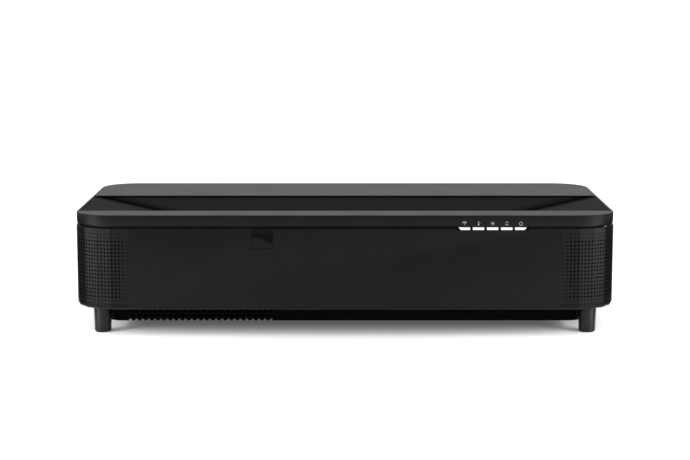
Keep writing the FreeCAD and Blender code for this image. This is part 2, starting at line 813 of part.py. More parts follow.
def status_board():
    """The small board behind the lights and the remote window, with its receiver."""
    face = "wall + 2.4 - case_depth / 2"
    across = ("remote_left - 10", "light_left + 95")
    board = block("status_pcb", across, (face, face + " + 1.6"), ("118", "137.5"))
    receiver = block(
        "remote_receiver",
        ("remote_left + 8", "remote_left + 20"),
        ("wall - case_depth / 2", face),
        ("remote_bottom + 6", "remote_bottom + 16"),
    )
    chips = []
    for step in range(5):
        left = "light_left + %d * light_pitch + 5" % step
        along = ("4.4 - case_depth / 2", face)
        chips.append(block("led_%d" % step, (left, left + " + 5"), along, ("134", "137")))
    return node(fuse("status_board", [board, receiver] + chips))


# ---------------------------------------------------------------- electronics and sockets

def main_board():
    """The board that carries the sockets, with its processor's cooler and smaller chips."""
    board = block("board_plate", ("95", "250"), ("118", "166"), ("port_height - 9", "port_height - 7.4"))
    parts = [board]
    for step, left in enumerate((105, 145, 185, 222)):
        across = ("%d" % left, "%d" % (left + 22))
        upright = ("port_height - 7.4", "port_height - 5.4")
        parts.append(block("chip_%d" % step, across, ("124", "142"), upright))
    for step in range(4):
        spot = ("%d" % (100 + 48 * step), "128")
        parts.append(rod("board_post_%d" % step, "z", ("tray_top", "port_height - 8"), "3", spot))
    return node(fuse("main_board", parts))


def socket_shell(name, centre, size, skin, depth):
    """A metal-sleeved socket, open to the back, with a tongue in the middle."""
    low_y = "case_depth / 2 - %g" % depth
    sleeve = []
    outside = ("outside", 0, (low_y, "case_depth / 2 - 0.3"))
    inside = ("inside", skin, (low_y + " + 2", "case_depth / 2 + 1"))
    for role, grow, along in (outside, inside):
        across = ("%g" % (centre - size[0] / 2 + 0.2 + grow), "%g" % (centre + size[0] / 2 - 0.2 - grow))
        upright = (
            "port_height - %g" % (size[1] / 2 - 0.2 - grow),
            "port_height + %g" % (size[1] / 2 - 0.2 - grow),
        )
        sleeve.append(block("%s_%d_%s" % (name, centre, role), across, along, upright))
    shell = cut("%s_%d_sleeve" % (name, centre), sleeve[0], [sleeve[1]])
    tongue_half = size[0] / 2 - 0.2 - skin - 2.2
    tongue = block(
        "%s_%d_tongue" % (name, centre),
        ("%g" % (centre - tongue_half), "%g" % (centre + tongue_half)),
        (low_y + " + 1", "case_depth / 2 - 3"),
        ("port_height - 0.6", "port_height + 0.6"),
    )
    leg = block(
        "%s_%d_leg" % (name, centre),
        ("%g" % (centre - size[0] / 2 + 1), "%g" % (centre + size[0] / 2 - 1)),
        (low_y, low_y + " + 9"),
        ("port_height - 7.4", "port_height - %g" % (size[1] / 2 - 0.5)),
    )
    return fuse("%s_%d" % (name, centre), [shell, tongue, leg])


def hdmi_sockets():
    shells = [socket_shell("hdmi", centre, HDMI_SIZE, 0.5, 14) for centre in HDMI_SOCKETS]
    return node(group("hdmi_sockets", shells))


def usb_sockets():
    shells = [socket_shell("usb", centre, USB_SIZE, 0.5, 14) for centre in USB_SOCKETS]
    return node(group("usb_sockets", shells))


def audio_sockets():
    """The optical socket and the headphone jack."""
    optical = socket_shell("optical", OPTICAL_SOCKET, OPTICAL_SIZE, 1.2, 14)
    spot = ("%g" % AUDIO_JACK, "port_height")
    barrel = rod("jack_barrel", "y", ("case_depth / 2 - 14", "case_depth / 2 - 0.3"), "3.5", spot)
    base = block("jack_base", ("%g" % (AUDIO_JACK - 3), "%g" % (AUDIO_JACK + 3)),
                 ("case_depth / 2 - 14", "case_depth / 2 - 4"), ("port_height - 7.4", "port_height"))
    bore = rod("jack_bore", "y", ("case_depth / 2 - 13", "case_depth / 2 + 1"), "%g" % JACK_RADIUS, spot)
    jack = cut("audio_jack", fuse("jack_body", [barrel, base]), [bore])
    return node(group("audio_sockets", [optical, jack]))


def power_inlet():
    """The mains inlet: a flanged socket with three blades set back from its mouth."""
    left = INLET_CENTRE - INLET_SIZE[0] / 2 + 0.2
    right = INLET_CENTRE + INLET_SIZE[0] / 2 - 0.2
    half = INLET_SIZE[1] / 2 - 0.2
    upright = ("port_height - %g" % half, "port_height + %g" % half)
    along = ("case_depth / 2 - 24", "case_depth / 2 - 0.2")
    body = block("inlet_body", ("%g" % left, "%g" % right), along, upright)
    inner = ("port_height - %g" % (half - 1.6), "port_height + %g" % (half - 1.6))
    across = ("%g" % (left + 1.6), "%g" % (right - 1.6))
    hollow = block("inlet_hollow", across, ("case_depth / 2 - 18", "case_depth / 2 + 1"), inner)
    blades = []
    for step, (shift, lift) in enumerate(((-7, -1.5), (0, 2.5), (7, -1.5))):
        middle = INLET_CENTRE + shift
        blades.append(block(
            "inlet_blade_%d" % step,
            ("%g" % (middle - 1), "%g" % (middle + 1)),
            ("case_depth / 2 - 19", "case_depth / 2 - 6"),
            ("port_height + %g" % (lift - 2), "port_height + %g" % (lift + 2)),
        ))
    shell = cut("inlet_shell", body, [hollow])
    return node(fuse("power_inlet", [shell] + blades))


def power_supply():
    """The supply: a board on posts with its transformer, capacitors and cooler."""
    level = "tray_top + 8"
    parts = [block("supply_board", ("-290", "-105"), ("62", "140"), (level, level + " + 1.6"))]
    top = level + " + 1.6"
    parts.append(block("transformer", ("-215", "-170"), ("75", "120"), (top, top + " + 32")))
    parts.append(block("supply_cooler", ("-160", "-156"), ("68", "134"), (top, top + " + 38")))
    for step in range(3):
        spot = ("-268", "%d" % (76 + 26 * step))
        parts.append(rod("capacitor_%d" % step, "z", (top, top + " + 30"), "11", spot))
    for step in range(6):
        spot = ("%d" % (-140 + 14 * (step % 3)), "%d" % (82 + 26 * (step // 3)))
        parts.append(rod("small_capacitor_%d" % step, "z", (top, top + " + 16"), "5", spot))
    for step in range(4):
        spot = ("%d" % (-282 + 168 * (step % 2)), "%d" % (67 + 67 * (step // 2)))
        parts.append(rod("supply_post_%d" % step, "z", ("tray_top", level + " + 1"), "3.5", spot))
    return node(fuse("power_supply", parts))


# ---------------------------------------------------------------- optics

def optical_engine():
    """The cast housing between the light source and the lens, open to both."""
    outer = block("engine_outer", ("-85", "85"), ("25", "112"), ("50", "114"))
    inner = block("engine_inner", ("-81", "81"), ("29", "108"), ("54", "110"))
    mouth = rod("engine_mouth", "y", ("20", "32"), "34", ("0", "lens_height"))
    port = block("engine_port", ("80", "90"), ("45", "80"), ("65", "99"))
    legs = []
    for step, left in enumerate((-80, 66)):
        across = ("%d" % left, "%d" % (left + 14))
        legs.append(block("engine_leg_%d" % step, across, ("30", "107"), ("tray_top", "51")))
    return node(cut("optical_engine", fuse("engine_body", [outer] + legs), [inner, mouth, port]))


def colour_prism():
    """The cube prism that joins the three colours, with a panel on each of three faces."""
    low = "lens_height - 17"
    high = "lens_height + 17"
    cube = block("prism_cube", ("-17", "17"), ("40", "74"), (low, high))
    base = block("prism_base", ("-24", "24"), ("34", "98"), ("54", low))
    panels = [
        block("panel_left", ("-22", "-19"), ("42", "72"), (low, high)),
        block("panel_right", ("19", "22"), ("42", "72"), (low, high)),
        block("panel_back", ("-15", "15"), ("76", "79"), (low, high)),
    ]
    return node(group("colour_prism", [fuse("prism_body", [cube, base])] + panels))


def lens_barrel():
    """The fixed lens tube with its two end lenses, its axis along Y."""
    outside = "barrel_radius"
    inside = "barrel_radius - 4"
    corners = [(inside, "0"), (outside, "0"), (outside, "88"), (inside, "88")]
    tube = turned("lens_tube", corners, ("0", "-65", "lens_height"), TURNS["y"])
    corners = [("0", "2"), (inside + " + 1", "2"), (inside + " + 1", "7"), ("0", "14")]
    front = turned("front_lens", corners, ("0", "-65", "lens_height"), TURNS["y"])
    corners = [("0", "72"), (inside + " + 1", "72"), (inside + " + 1", "78"), ("0", "82")]
    back = turned("back_lens", corners, ("0", "-65", "lens_height"), TURNS["y"])
    foot = block("lens_foot", ("-20", "20"), ("0", "20"), ("tray_top", "lens_height - barrel_radius + 2"))
    return node(fuse("lens_barrel", [tube, front, back, foot]))


def focus_carriage():
    """The ring that slides on the lens barrel, with the nut that the focus screw turns in."""
    corners = [
        ("barrel_radius + running_gap", "0"),
        ("barrel_radius + 5", "0"),
        ("barrel_radius + 5", "12"),
        ("barrel_radius + running_gap", "12"),
    ]
    ring = turned("focus_ring", corners, ("0", "-45", "lens_height"), TURNS["y"])
    across = ("barrel_radius + 3", "screw_across + 6")
    lug = block("focus_lug", across, ("-45", "-33"), ("lens_height - 6", "lens_height + 6"))
    spot = ("screw_across", "lens_height")
    bore = rod("focus_nut", "y", ("-46", "-32"), "screw_radius + running_gap", spot)
    return node(cut("focus_carriage", fuse("focus_ring_body", [ring, lug]), [bore]))


def focus_screw():
    return node(rod("focus_screw", "y", ("-58", "-4"), "screw_radius", ("screw_across", "lens_height")))


def focus_motor():
    """The geared motor behind the focus screw, on its own bracket."""
    spot = ("screw_across", "lens_height")
    can = rod("motor_can", "y", ("-3.5", "20"), "10", spot)
    across = ("screw_across - 4", "screw_across + 4")
    bracket = block("motor_bracket", across, ("2", "14"), ("tray_top", "lens_height - 8"))
    return node(fuse("focus_motor", [can, bracket]))


def concave_mirror():
    """The bowl that throws the picture up and back, cut from a hollow sphere."""
    ball = Part.makeSphere(124, FreeCAD.Vector(0, -42, 112))
    hollow = Part.makeSphere(120, FreeCAD.Vector(0, -42, 112))
    zone = Part.makeBox(160, 60, 66, FreeCAD.Vector(-80, -167, 52))
    return node(fixed("concave_mirror", ball.cut(hollow).common(zone)))


def mirror_bracket():
    """The stand that holds the mirror by its ends."""
    parts = [block("bracket_floor", ("-86", "86"), ("-160", "-98"), ("tray_top", "tray_top + 4"))]
    for step, left in enumerate((-86, 80)):
        across = ("%d" % left, "%d" % (left + 6))
        parts.append(block("bracket_side_%d" % step, across, ("-158", "-98"), ("tray_top", "117")))
    return node(fuse("mirror_bracket", parts))


def phosphor_motor():
    """The wheel's motor, whose fixed shaft the wheel runs on."""
    spot = ("wheel_across", "lens_height")
    can = rod("wheel_motor_can", "y", ("28", "42"), "12", spot)
    shaft = rod("wheel_shaft", "y", ("40", "48"), "3", spot)
    across = ("wheel_across - 6", "wheel_across + 6")
    stand = block("wheel_stand", across, ("29", "40"), ("tray_top", "lens_height - 8"))
    return node(fuse("phosphor_motor", [can, shaft, stand]))


def phosphor_wheel():
    corners = [
        ("3 + running_gap", "0"),
        ("10", "0"),
        ("10", "2"),
        ("wheel_radius", "2"),
        ("wheel_radius", "3.5"),
        ("3 + running_gap", "3.5"),
    ]
    return node(turned("phosphor_wheel", corners, ("wheel_across", "42.5", "lens_height"), TURNS["y"]))


def laser_module():
    """The copper block with its two rows of laser diodes, aimed at the phosphor wheel."""
    base = block("laser_base", ("100", "170"), ("66", "112"), ("50", "114"))
    leg = block("laser_leg", ("110", "160"), ("70", "108"), ("tray_top", "51"))
    diodes = []
    for row in range(3):
        for column in range(4):
            spot = ("%d" % (112 + 15 * column), "%d" % (66 + 16 * row))
            diodes.append(rod("diode_%d_%d" % (row, column), "y", ("62", "68"), "4.5", spot))
    return node(fuse("laser_module", [base, leg] + diodes))


def laser_heatsink():
    """The finned cooler between the laser and the exhaust fans."""
    base = block("cooler_base", ("170", "176"), ("-45", "112"), ("50", "116"))
    parts = [base]
    for step in range(13):
        low = "%g" % (50 + 5.35 * step)
        parts.append(block("fin_%d" % step, ("175", "290"), ("-45", "112"), (low, low + " + 1.4")))
    parts.append(block("cooler_leg", ("170", "186"), ("-40", "107"), ("tray_top", "51")))
    return node(fuse("laser_heatsink", parts))


# ---------------------------------------------------------------- fans

# Each fan's low face on X and its centre on Y.
EXHAUST_FRONT = ("exhaust_left", "-4")
EXHAUST_REAR = ("exhaust_left", "90")
INTAKE_FAN = ("intake_fan_left", "-28")


def fan_frame(name, low, centre):
    """A square frame with a round passage, struts and a post for the rotor's axle."""
    half = "fan_size / 2"
    along = ("%s - %s" % (centre, half), "%s + %s" % (centre, half))
    upright = ("fan_height - " + half, "fan_height + " + half)
    square = block(name + "_square", (low, low + " + fan_depth"), along, upright)
    through = (low + " - 1", low + " + fan_depth + 1")
    passage = rod(name + "_passage", "x", through, "fan_bore", (centre, "fan_height"))
    ring = cut(name + "_ring", square, [passage])
    hub = rod(name + "_post", "x", (low, low + " + 3"), "fan_hub", (centre, "fan_height"))
    axle = rod(name + "_axle", "x", (low + " + 2", low + " + 20"), "axle_radius", (centre, "fan_height"))
    level = block(name + "_strut_y", (low, low + " + 3"), along, ("fan_height - 2.5", "fan_height + 2.5"))
    narrow = (centre + " - 2.5", centre + " + 2.5")
    upright_strut = block(name + "_strut_z", (low, low + " + 3"), narrow, upright)
    return fuse(name, [ring, hub, axle, level, upright_strut])


def fan_frames():
    frames = [
        fan_frame("exhaust_frame_front", *EXHAUST_FRONT),
        fan_frame("exhaust_frame_rear", *EXHAUST_REAR),
        fan_frame("intake_frame", *INTAKE_FAN),
    ]
    return node(group("fan_frames", frames))


def fan_rotor(name, low, centre):
    """A hub that runs on the frame's axle, with pitched blades all round."""
    hub = rod(name + "_hub", "x", (low + " + 4", low + " + 22"), "fan_hub", (centre, "fan_height"))
    middle = FreeCAD.Vector(value(low) + 13, float(centre), value("fan_height"))
    blades = []
    for step in range(BLADES):
        blade = doc.addObject("Part::Box", "%s_blade_%d" % (name, step))
        blade.setExpression("Length", bound("blade_chord"))
        blade.Width = 1.8
        blade.setExpression("Height", bound("blade_span + 2"))
        around = FreeCAD.Rotation(FreeCAD.Vector(1, 0, 0), 360 / BLADES * step)
        pitched = around.multiply(FreeCAD.Rotation(UP, BLADE_PITCH))
        corner = FreeCAD.Vector(-value("blade_chord") / 2, -0.9, value("fan_hub") - 2)
        blade.Placement = FreeCAD.Placement(middle, pitched).multiply(FreeCAD.Placement(corner, NO_TURN))
        blades.append(blade)
    radius = "axle_radius + running_gap"
    bore = rod(name + "_bore", "x", (low + " + 3", low + " + 20.1"), radius, (centre, "fan_height"))
    return node(cut(name, fuse(name + "_body", [hub] + blades), [bore]))


# ---------------------------------------------------------------- sound

def speaker_turn(side):
    return FreeCAD.Rotation(UP, 45 * side)


def speaker_boxes():
    """Closed boxes behind the corner grilles, turned to face out of the corners."""
    half = math.sqrt(0.5)
    boxes = []
    for side in (-1, 1):
        parts = []
        for name, shrink in (("outside", 0), ("inside", 3)):
            item = doc.addObject("Part::Box", "speaker_%s_%d" % (name, side + 1))
            item.setExpression("Length", bound("speaker_width - %d" % (2 * shrink)))
            item.setExpression("Width", bound("60 - %d" % (2 * shrink)))
            item.setExpression("Height", bound("speaker_height - %d" % (2 * shrink)))
            x_text = "%d * speaker_across - %.7f * (speaker_width / 2 - %d)" % (side, half, shrink)
            x_text += " - %.7f * %d" % (half * side, shrink)
            y_text = "-speaker_along - %.7f * (speaker_width / 2 - %d)" % (half * side, shrink)
            y_text += " + %.7f * %d" % (half, shrink)
            place(item, (x_text, y_text, "speaker_bottom + %d" % shrink), speaker_turn(side))
            parts.append(item)
        outward = FreeCAD.Rotation(UP, FreeCAD.Vector(side, -1, 0))
        spot = ("%d * speaker_across" % side, "-speaker_along", "speaker_bottom + speaker_height / 2")
        corners = [("0", "-5"), ("24", "-5"), ("24", "5"), ("0", "5")]
        mouth = turned("speaker_mouth_%d" % (side + 1), corners, spot, outward)
        boxes.append(cut("speaker_box_%d" % (side + 1), parts[0], [parts[1], mouth]))
    return node(group("speaker_boxes", boxes))


def speaker_drivers():
    """A flanged basket, a cone and a magnet in each box."""
    corners = [
        ("0", "-26"), ("15", "-26"), ("15", "-14"), ("23.5", "-3.2"), ("23.5", "0.1"), ("29", "0.1"),
        ("29", "2"), ("22", "2"), ("12", "-8"), ("0", "-6"),
    ]
    drivers = []
    for side in (-1, 1):
        outward = FreeCAD.Rotation(UP, FreeCAD.Vector(side, -1, 0))
        spot = ("%d * speaker_across" % side, "-speaker_along", "speaker_bottom + speaker_height / 2")
        drivers.append(turned("driver_%d" % (side + 1), corners, spot, outward))
    return node(group("speaker_drivers", drivers))


# ---------------------------------------------------------------- moving outside parts

def power_button():
    """The round button in the back, with the stem that reaches its switch."""
    spot = ("button_across", "button_height")
    cap = rod("button_cap", "y", ("case_depth / 2 - 6", "case_depth / 2 - 0.5"), "button_radius", spot)
    span = ("case_depth / 2 - 8", "case_depth / 2 - 5")
    flange = rod("button_flange", "y", span, "button_radius + 2", spot)
    stem = rod("button_stem", "y", ("case_depth / 2 - 12", "case_depth / 2 - 7"), "2", spot)
    return node(fuse("power_button", [cap, flange, stem]))


def power_switch():
    """The switch behind the power button, on its own small board."""
    board = block("switch_board", ("button_across - 14", "button_across + 14"),
                  ("case_depth / 2 - 20", "case_depth / 2 - 18"), ("tray_top", "button_height + 9"))
    body = block("switch_body", ("button_across - 4", "button_across + 4"),
                 ("case_depth / 2 - 19", "case_depth / 2 - 14"), ("button_height - 4", "button_height + 4"))
    return node(fuse("power_switch", [board, body]))


def filter_cover():
    """The slotted cover of the air filter, which is also the front part of the left side."""
    front = negative("case_depth / 2 - corner_span - grille_flat - filter_gap")
    flank = ("-case_width / 2", "wall - case_width / 2")
    upright = ("tray_top + filter_gap", "case_top - filter_gap")
    plate = block("cover_blank", flank, (front, "filter_back - filter_gap"), upright)
    through = ("-case_width / 2 - 1", "wall - case_width / 2 + 1")
    return node(cut("filter_cover", plate, vent_slots("intake", through, front + " + 12.7", 2)))


def filter_frame():
    """The frame that clips to the cover and holds the pleated medium."""
    face = "wall - case_width / 2"
    outer = block("filter_outer", (face, face + " + 11"), ("-90", "32"), ("48", "134"))
    inner = block("filter_inner", (face + " - 1", face + " + 12"), ("-86", "28"), ("52", "130"))
    return node(cut("filter_frame", outer, [inner]))


def filter_medium():
    """The pleated medium: a zigzag sheet that fills the frame."""
    face = value("wall") - value("case_width") / 2
    pleats = 19
    step = 114 / pleats
    near = []
    for count in range(pleats + 1):
        near.append(FreeCAD.Vector(face + 1.5 + 7 * (count % 2), -86 + step * count, 52))
    far = [point + FreeCAD.Vector(1.6, 0, 0) for point in near]
    corners = near + far[::-1]
    face_shape = Part.Face(Part.makePolygon(corners + corners[:1]))
    return node(fixed("filter_medium", face_shape.extrude(UP * 78)))


def front_foot(name, spot):
    """A tapered foot on a threaded stud, its rubber pad and the washer that it runs against."""
    corners = [
        ("0", "pad_height"),
        ("pad_radius", "pad_height"),
        ("pad_radius", "1.2"),
        ("foot_tip_radius - 0.6", "1.2"),
        ("foot_tip_radius", "2"),
        ("foot_radius", "case_bottom - washer_height"),
        ("stud_radius", "case_bottom - washer_height"),
        ("stud_radius", "stud_top"),
        ("0", "stud_top"),
    ]
    node(turned("foot_" + name, corners, (spot[0], spot[1], "0")))
    node(rod("foot_pad_" + name, "z", ("0", "pad_height"), "pad_radius", spot))
    base = "case_bottom - washer_height"
    disc = rod("washer_disc_" + name, "z", (base, "case_bottom"), "foot_radius", spot)
    span = (base + " - 1", "case_bottom + 1")
    bore = rod("washer_bore_" + name, "z", span, "stud_radius + running_gap", spot)
    node(cut("foot_washer_" + name, disc, [bore]))


def rear_feet():
    """Two plain feet of the same shape, fixed to the tray."""
    corners = [
        ("0", "pad_height"),
        ("pad_radius", "pad_height"),
        ("pad_radius", "1.2"),
        ("foot_tip_radius - 0.6", "1.2"),
        ("foot_tip_radius", "2"),
        ("foot_radius", "case_bottom"),
        ("0", "case_bottom"),
    ]
    feet = []
    pads = []
    for step, spot in enumerate(foot_spots(1)):
        feet.append(turned("rear_foot_%d" % step, corners, (spot[0], spot[1], "0")))
        pads.append(rod("rear_pad_%d" % step, "z", ("0", "pad_height"), "pad_radius", spot))
    node(group("rear_feet", feet))
    node(group("rear_foot_pads", pads))


# ---------------------------------------------------------------- assembly

def build():
    write_sizes()
    base_tray()
    case_screws()
    base_skirt()
    underside_plate()
    intake_grille()
    front_panel()
    speaker_grille("speaker_grille_left", -1)
    speaker_grille("speaker_grille_right", 1)
    left_side_panel()
    right_side_panel()
    rear_panel()
    seam_gasket()
    shell = lid_shell(lid_blank())
    trough = Trough()
    front_rim(shell)
    obstacle_sensors()
    shoulder("left_shoulder", -1, shell, trough)
    shoulder("right_shoulder", 1, shell, trough)
    trough_ramp(trough)
    top_cover(shell)
    window_housing()
    remote_window()
    status_lights()
    status_board()
    main_board()
    hdmi_sockets()
    usb_sockets()
    audio_sockets()
    power_inlet()
    power_supply()
    optical_engine()
    colour_prism()
    lens_barrel()
    focus_carriage()
    focus_screw()
    focus_motor()
    concave_mirror()
    mirror_bracket()
    phosphor_motor()
    phosphor_wheel()
    laser_module()
    laser_heatsink()
    fan_frames()
    fan_rotor("exhaust_rotor_front", *EXHAUST_FRONT)
    fan_rotor("exhaust_rotor_rear", *EXHAUST_REAR)
    fan_rotor("intake_rotor", *INTAKE_FAN)
    speaker_boxes()
    speaker_drivers()
    power_button()
    power_switch()
    filter_cover()
    filter_frame()
    filter_medium()
    for name, spot in zip(("left", "right"), foot_spots(-1)):
        front_foot(name, spot)
    rear_feet()
    doc.recompute()


def check_document():
    for item in doc.Objects:
        faults = {"Invalid", "Error"} & set(item.State)
        if faults:
            raise RuntimeError("%s is %s" % (item.Label, ", ".join(sorted(faults))))
    for name, item in nodes.items():
        if item.Shape.isNull() or not item.Shape.isValid() or not item.Shape.Solids:
            raise RuntimeError("%s has no valid solid" % name)


def export():
    os.makedirs("parts", exist_ok=True)
    for name, item in nodes.items():
        item.Shape.exportStep("parts/%s.step" % name)
        box = item.Shape.BoundBox
        print("%-22s %2d solids, volume %9.0f, z %.1f to %.1f" % (
            name, len(item.Shape.Solids), item.Shape.Volume, box.ZMin, box.ZMax))
    print(len(nodes), "nodes")


build()
check_document()
export()
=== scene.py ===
import json
import math

import bmesh
import bpy
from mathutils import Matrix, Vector


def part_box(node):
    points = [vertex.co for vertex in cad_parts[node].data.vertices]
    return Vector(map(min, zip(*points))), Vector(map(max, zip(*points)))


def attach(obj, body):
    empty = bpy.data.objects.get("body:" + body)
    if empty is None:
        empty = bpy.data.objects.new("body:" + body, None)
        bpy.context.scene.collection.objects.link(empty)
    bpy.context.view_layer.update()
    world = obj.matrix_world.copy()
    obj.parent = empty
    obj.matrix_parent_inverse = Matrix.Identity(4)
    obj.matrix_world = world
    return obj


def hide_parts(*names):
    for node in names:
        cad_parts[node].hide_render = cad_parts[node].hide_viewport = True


# Looks of the home projector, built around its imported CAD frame. Lengths are in metres.
# X runs to the right seen from the front, Y to the back, Z up.

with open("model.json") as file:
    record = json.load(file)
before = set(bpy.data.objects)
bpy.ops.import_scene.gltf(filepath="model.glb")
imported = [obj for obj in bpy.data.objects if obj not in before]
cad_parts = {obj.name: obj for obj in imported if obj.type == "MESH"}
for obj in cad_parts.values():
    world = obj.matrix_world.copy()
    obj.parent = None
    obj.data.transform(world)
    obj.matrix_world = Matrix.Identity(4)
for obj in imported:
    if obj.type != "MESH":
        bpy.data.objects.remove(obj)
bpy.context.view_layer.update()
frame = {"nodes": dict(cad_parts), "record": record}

MM = 0.001

# ---------------------------------------------------------------- sizes, from the frame

tray_low, tray_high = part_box("base_tray")
rim_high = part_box("front_rim")[1]
cover_low, cover_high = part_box("top_cover")
ramp_low, ramp_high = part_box("trough_ramp")
bezel_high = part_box("window_bezel")[1]
panel_low, panel_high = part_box("front_panel")
grille_low, grille_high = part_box("speaker_grille_right")

HALF_WIDTH = tray_high.x
HALF_DEPTH = tray_high.y
CASE_LOW = tray_low.z
WALL_LOW = panel_low.z
CASE_TOP = panel_high.z
LID_LOW = cover_low.z
LID_TOP = cover_high.z
WALL = panel_high.y - panel_low.y
LID_HALF_WIDTH = cover_high.x
LID_HALF_DEPTH = cover_high.y
RIM_BACK = rim_high.y
RAMP_TOP = ramp_high.z
RAMP_BACK = ramp_high.y
RAMP_FOOT = ramp_low.y
RAMP_LOW = ramp_low.z + WALL
CREASE_HALF = ramp_high.x
LIP_WIDTH = 3 * MM
LIP_HEIGHT = 1 * MM
TROUGH_HALF = LID_HALF_WIDTH - LIP_WIDTH
SIDE_TOP = LID_TOP - LIP_HEIGHT
WINDOW_HALF = bezel_high.x
GRILLE_FRONT = grille_low.x
GRILLE_SIDE = grille_high.y

CORNER_SPAN = 48.4 * MM
LID_RADIUS = 48.1 * MM
LOWER_EDGE = 3.6 * MM
LID_TOP_EDGE = 1.1 * MM
PANEL_EDGE = 0.8 * MM
BAND_WIDTH = 6 * MM
OVERHANG = 1.2 * MM
FACINGS = (15, 35, 55, 75)
FACET_COLUMNS = 4
FADE = (1, 1, 1, 0.78, 0.52)
ROWS = 20
FIRST_ROW = 42.7 * MM
LAST_ROW = 132.8 * MM
HOLE = 1.3 * MM
SMALL_HOLE = 0.8 * MM
CELL_STEPS = 4
SMOOTH_ANGLE = math.radians(32)
FACET_ANGLE = math.radians(8)
CRISP_WIDTH = 0.35 * MM
GRAIN_DEPTH = 0.03 * MM
LINE_DEPTH = 0.02 * MM


# ---------------------------------------------------------------- materials

def principled(name, color, roughness, metallic=0.0, **sockets):
    """A Principled material; returns it with its node tree and shader."""
    material = bpy.data.materials.new(name)
    material.use_nodes = True
    tree = material.node_tree
    shader = tree.nodes["Principled BSDF"]
    shader.inputs["Base Color"].default_value = (*color, 1)
    shader.inputs["Roughness"].default_value = roughness
    shader.inputs["Metallic"].default_value = metallic
    for socket, number in sockets.items():
        shader.inputs[socket.replace("_", " ")].default_value = number
    return material, tree, shader


def coordinates(tree, scale=(1, 1, 1)):
    """Object coordinates, stretched by scale."""
    source = tree.nodes.new("ShaderNodeTexCoord")
    mapping = tree.nodes.new("ShaderNodeMapping")
    mapping.inputs["Scale"].default_value = scale
    tree.links.new(source.outputs["Object"], mapping.inputs["Vector"])
    return mapping.outputs["Vector"]


def noise(tree, vector, scale, detail):
    node = tree.nodes.new("ShaderNodeTexNoise")
    node.inputs["Scale"].default_value = scale
    node.inputs["Detail"].default_value = detail
    tree.links.new(vector, node.inputs["Vector"])
    return node.outputs["Fac"]


def ramped(tree, value, low, high, start=0.3, end=0.7):
    """A map from a value between start and end to a number between low and high."""
    node = tree.nodes.new("ShaderNodeMapRange")
    node.inputs["From Min"].default_value = start
    node.inputs["From Max"].default_value = end
    node.inputs["To Min"].default_value = low
    node.inputs["To Max"].default_value = high
    tree.links.new(value, node.inputs["Value"])
    return node.outputs["Result"]


def tinted(tree, value, dark, light):
    node = tree.nodes.new("ShaderNodeMix")
    node.data_type = "RGBA"
    node.inputs["A"].default_value = (*dark, 1)
    node.inputs["B"].default_value = (*light, 1)
    tree.links.new(value, node.inputs["Factor"])
    return node.outputs["Result"]


def bumped(tree, shader, value, strength, distance):
    node = tree.nodes.new("ShaderNodeBump")
    node.inputs["Strength"].default_value = strength
    node.inputs["Distance"].default_value = distance
    tree.links.new(value, node.inputs["Height"])
    tree.links.new(node.outputs["Normal"], shader.inputs["Normal"])


def moulded(name, color, roughness, grain=1400, strength=0.25, **sockets):
    """Moulded plastic with a spark-eroded grain, cloudy gloss and a slight change of shade."""
    material, tree, shader = principled(name, color, roughness, **sockets)
    vector = coordinates(tree)
    cloud = noise(tree, vector, 18, 3)
    fine = noise(tree, vector, grain, 2)
    dark = [0.86 * part for part in color]
    light = [1.14 * part for part in color]
    tree.links.new(tinted(tree, ramped(tree, cloud, 0, 1), dark, light), shader.inputs["Base Color"])
    gloss = ramped(tree, cloud, roughness - 0.03, roughness + 0.03)
    tree.links.new(gloss, shader.inputs["Roughness"])
    bumped(tree, shader, fine, strength, GRAIN_DEPTH)
    return material


def machined(name, color, roughness, stretch):
    """Metal with fine lines: stretch sets how noise is drawn out along each axis."""
    material, tree, shader = principled(name, color, roughness, 1.0)
    vector = coordinates(tree, stretch)
    lines = noise(tree, vector, 1, 3)
    dark = [0.8 * part for part in color]
    light = [min(1, 1.15 * part) for part in color]
    tree.links.new(tinted(tree, ramped(tree, lines, 0, 1), dark, light), shader.inputs["Base Color"])
    tree.links.new(ramped(tree, lines, roughness - 0.06, roughness + 0.06), shader.inputs["Roughness"])
    bumped(tree, shader, lines, 0.15, LINE_DEPTH)
    return material


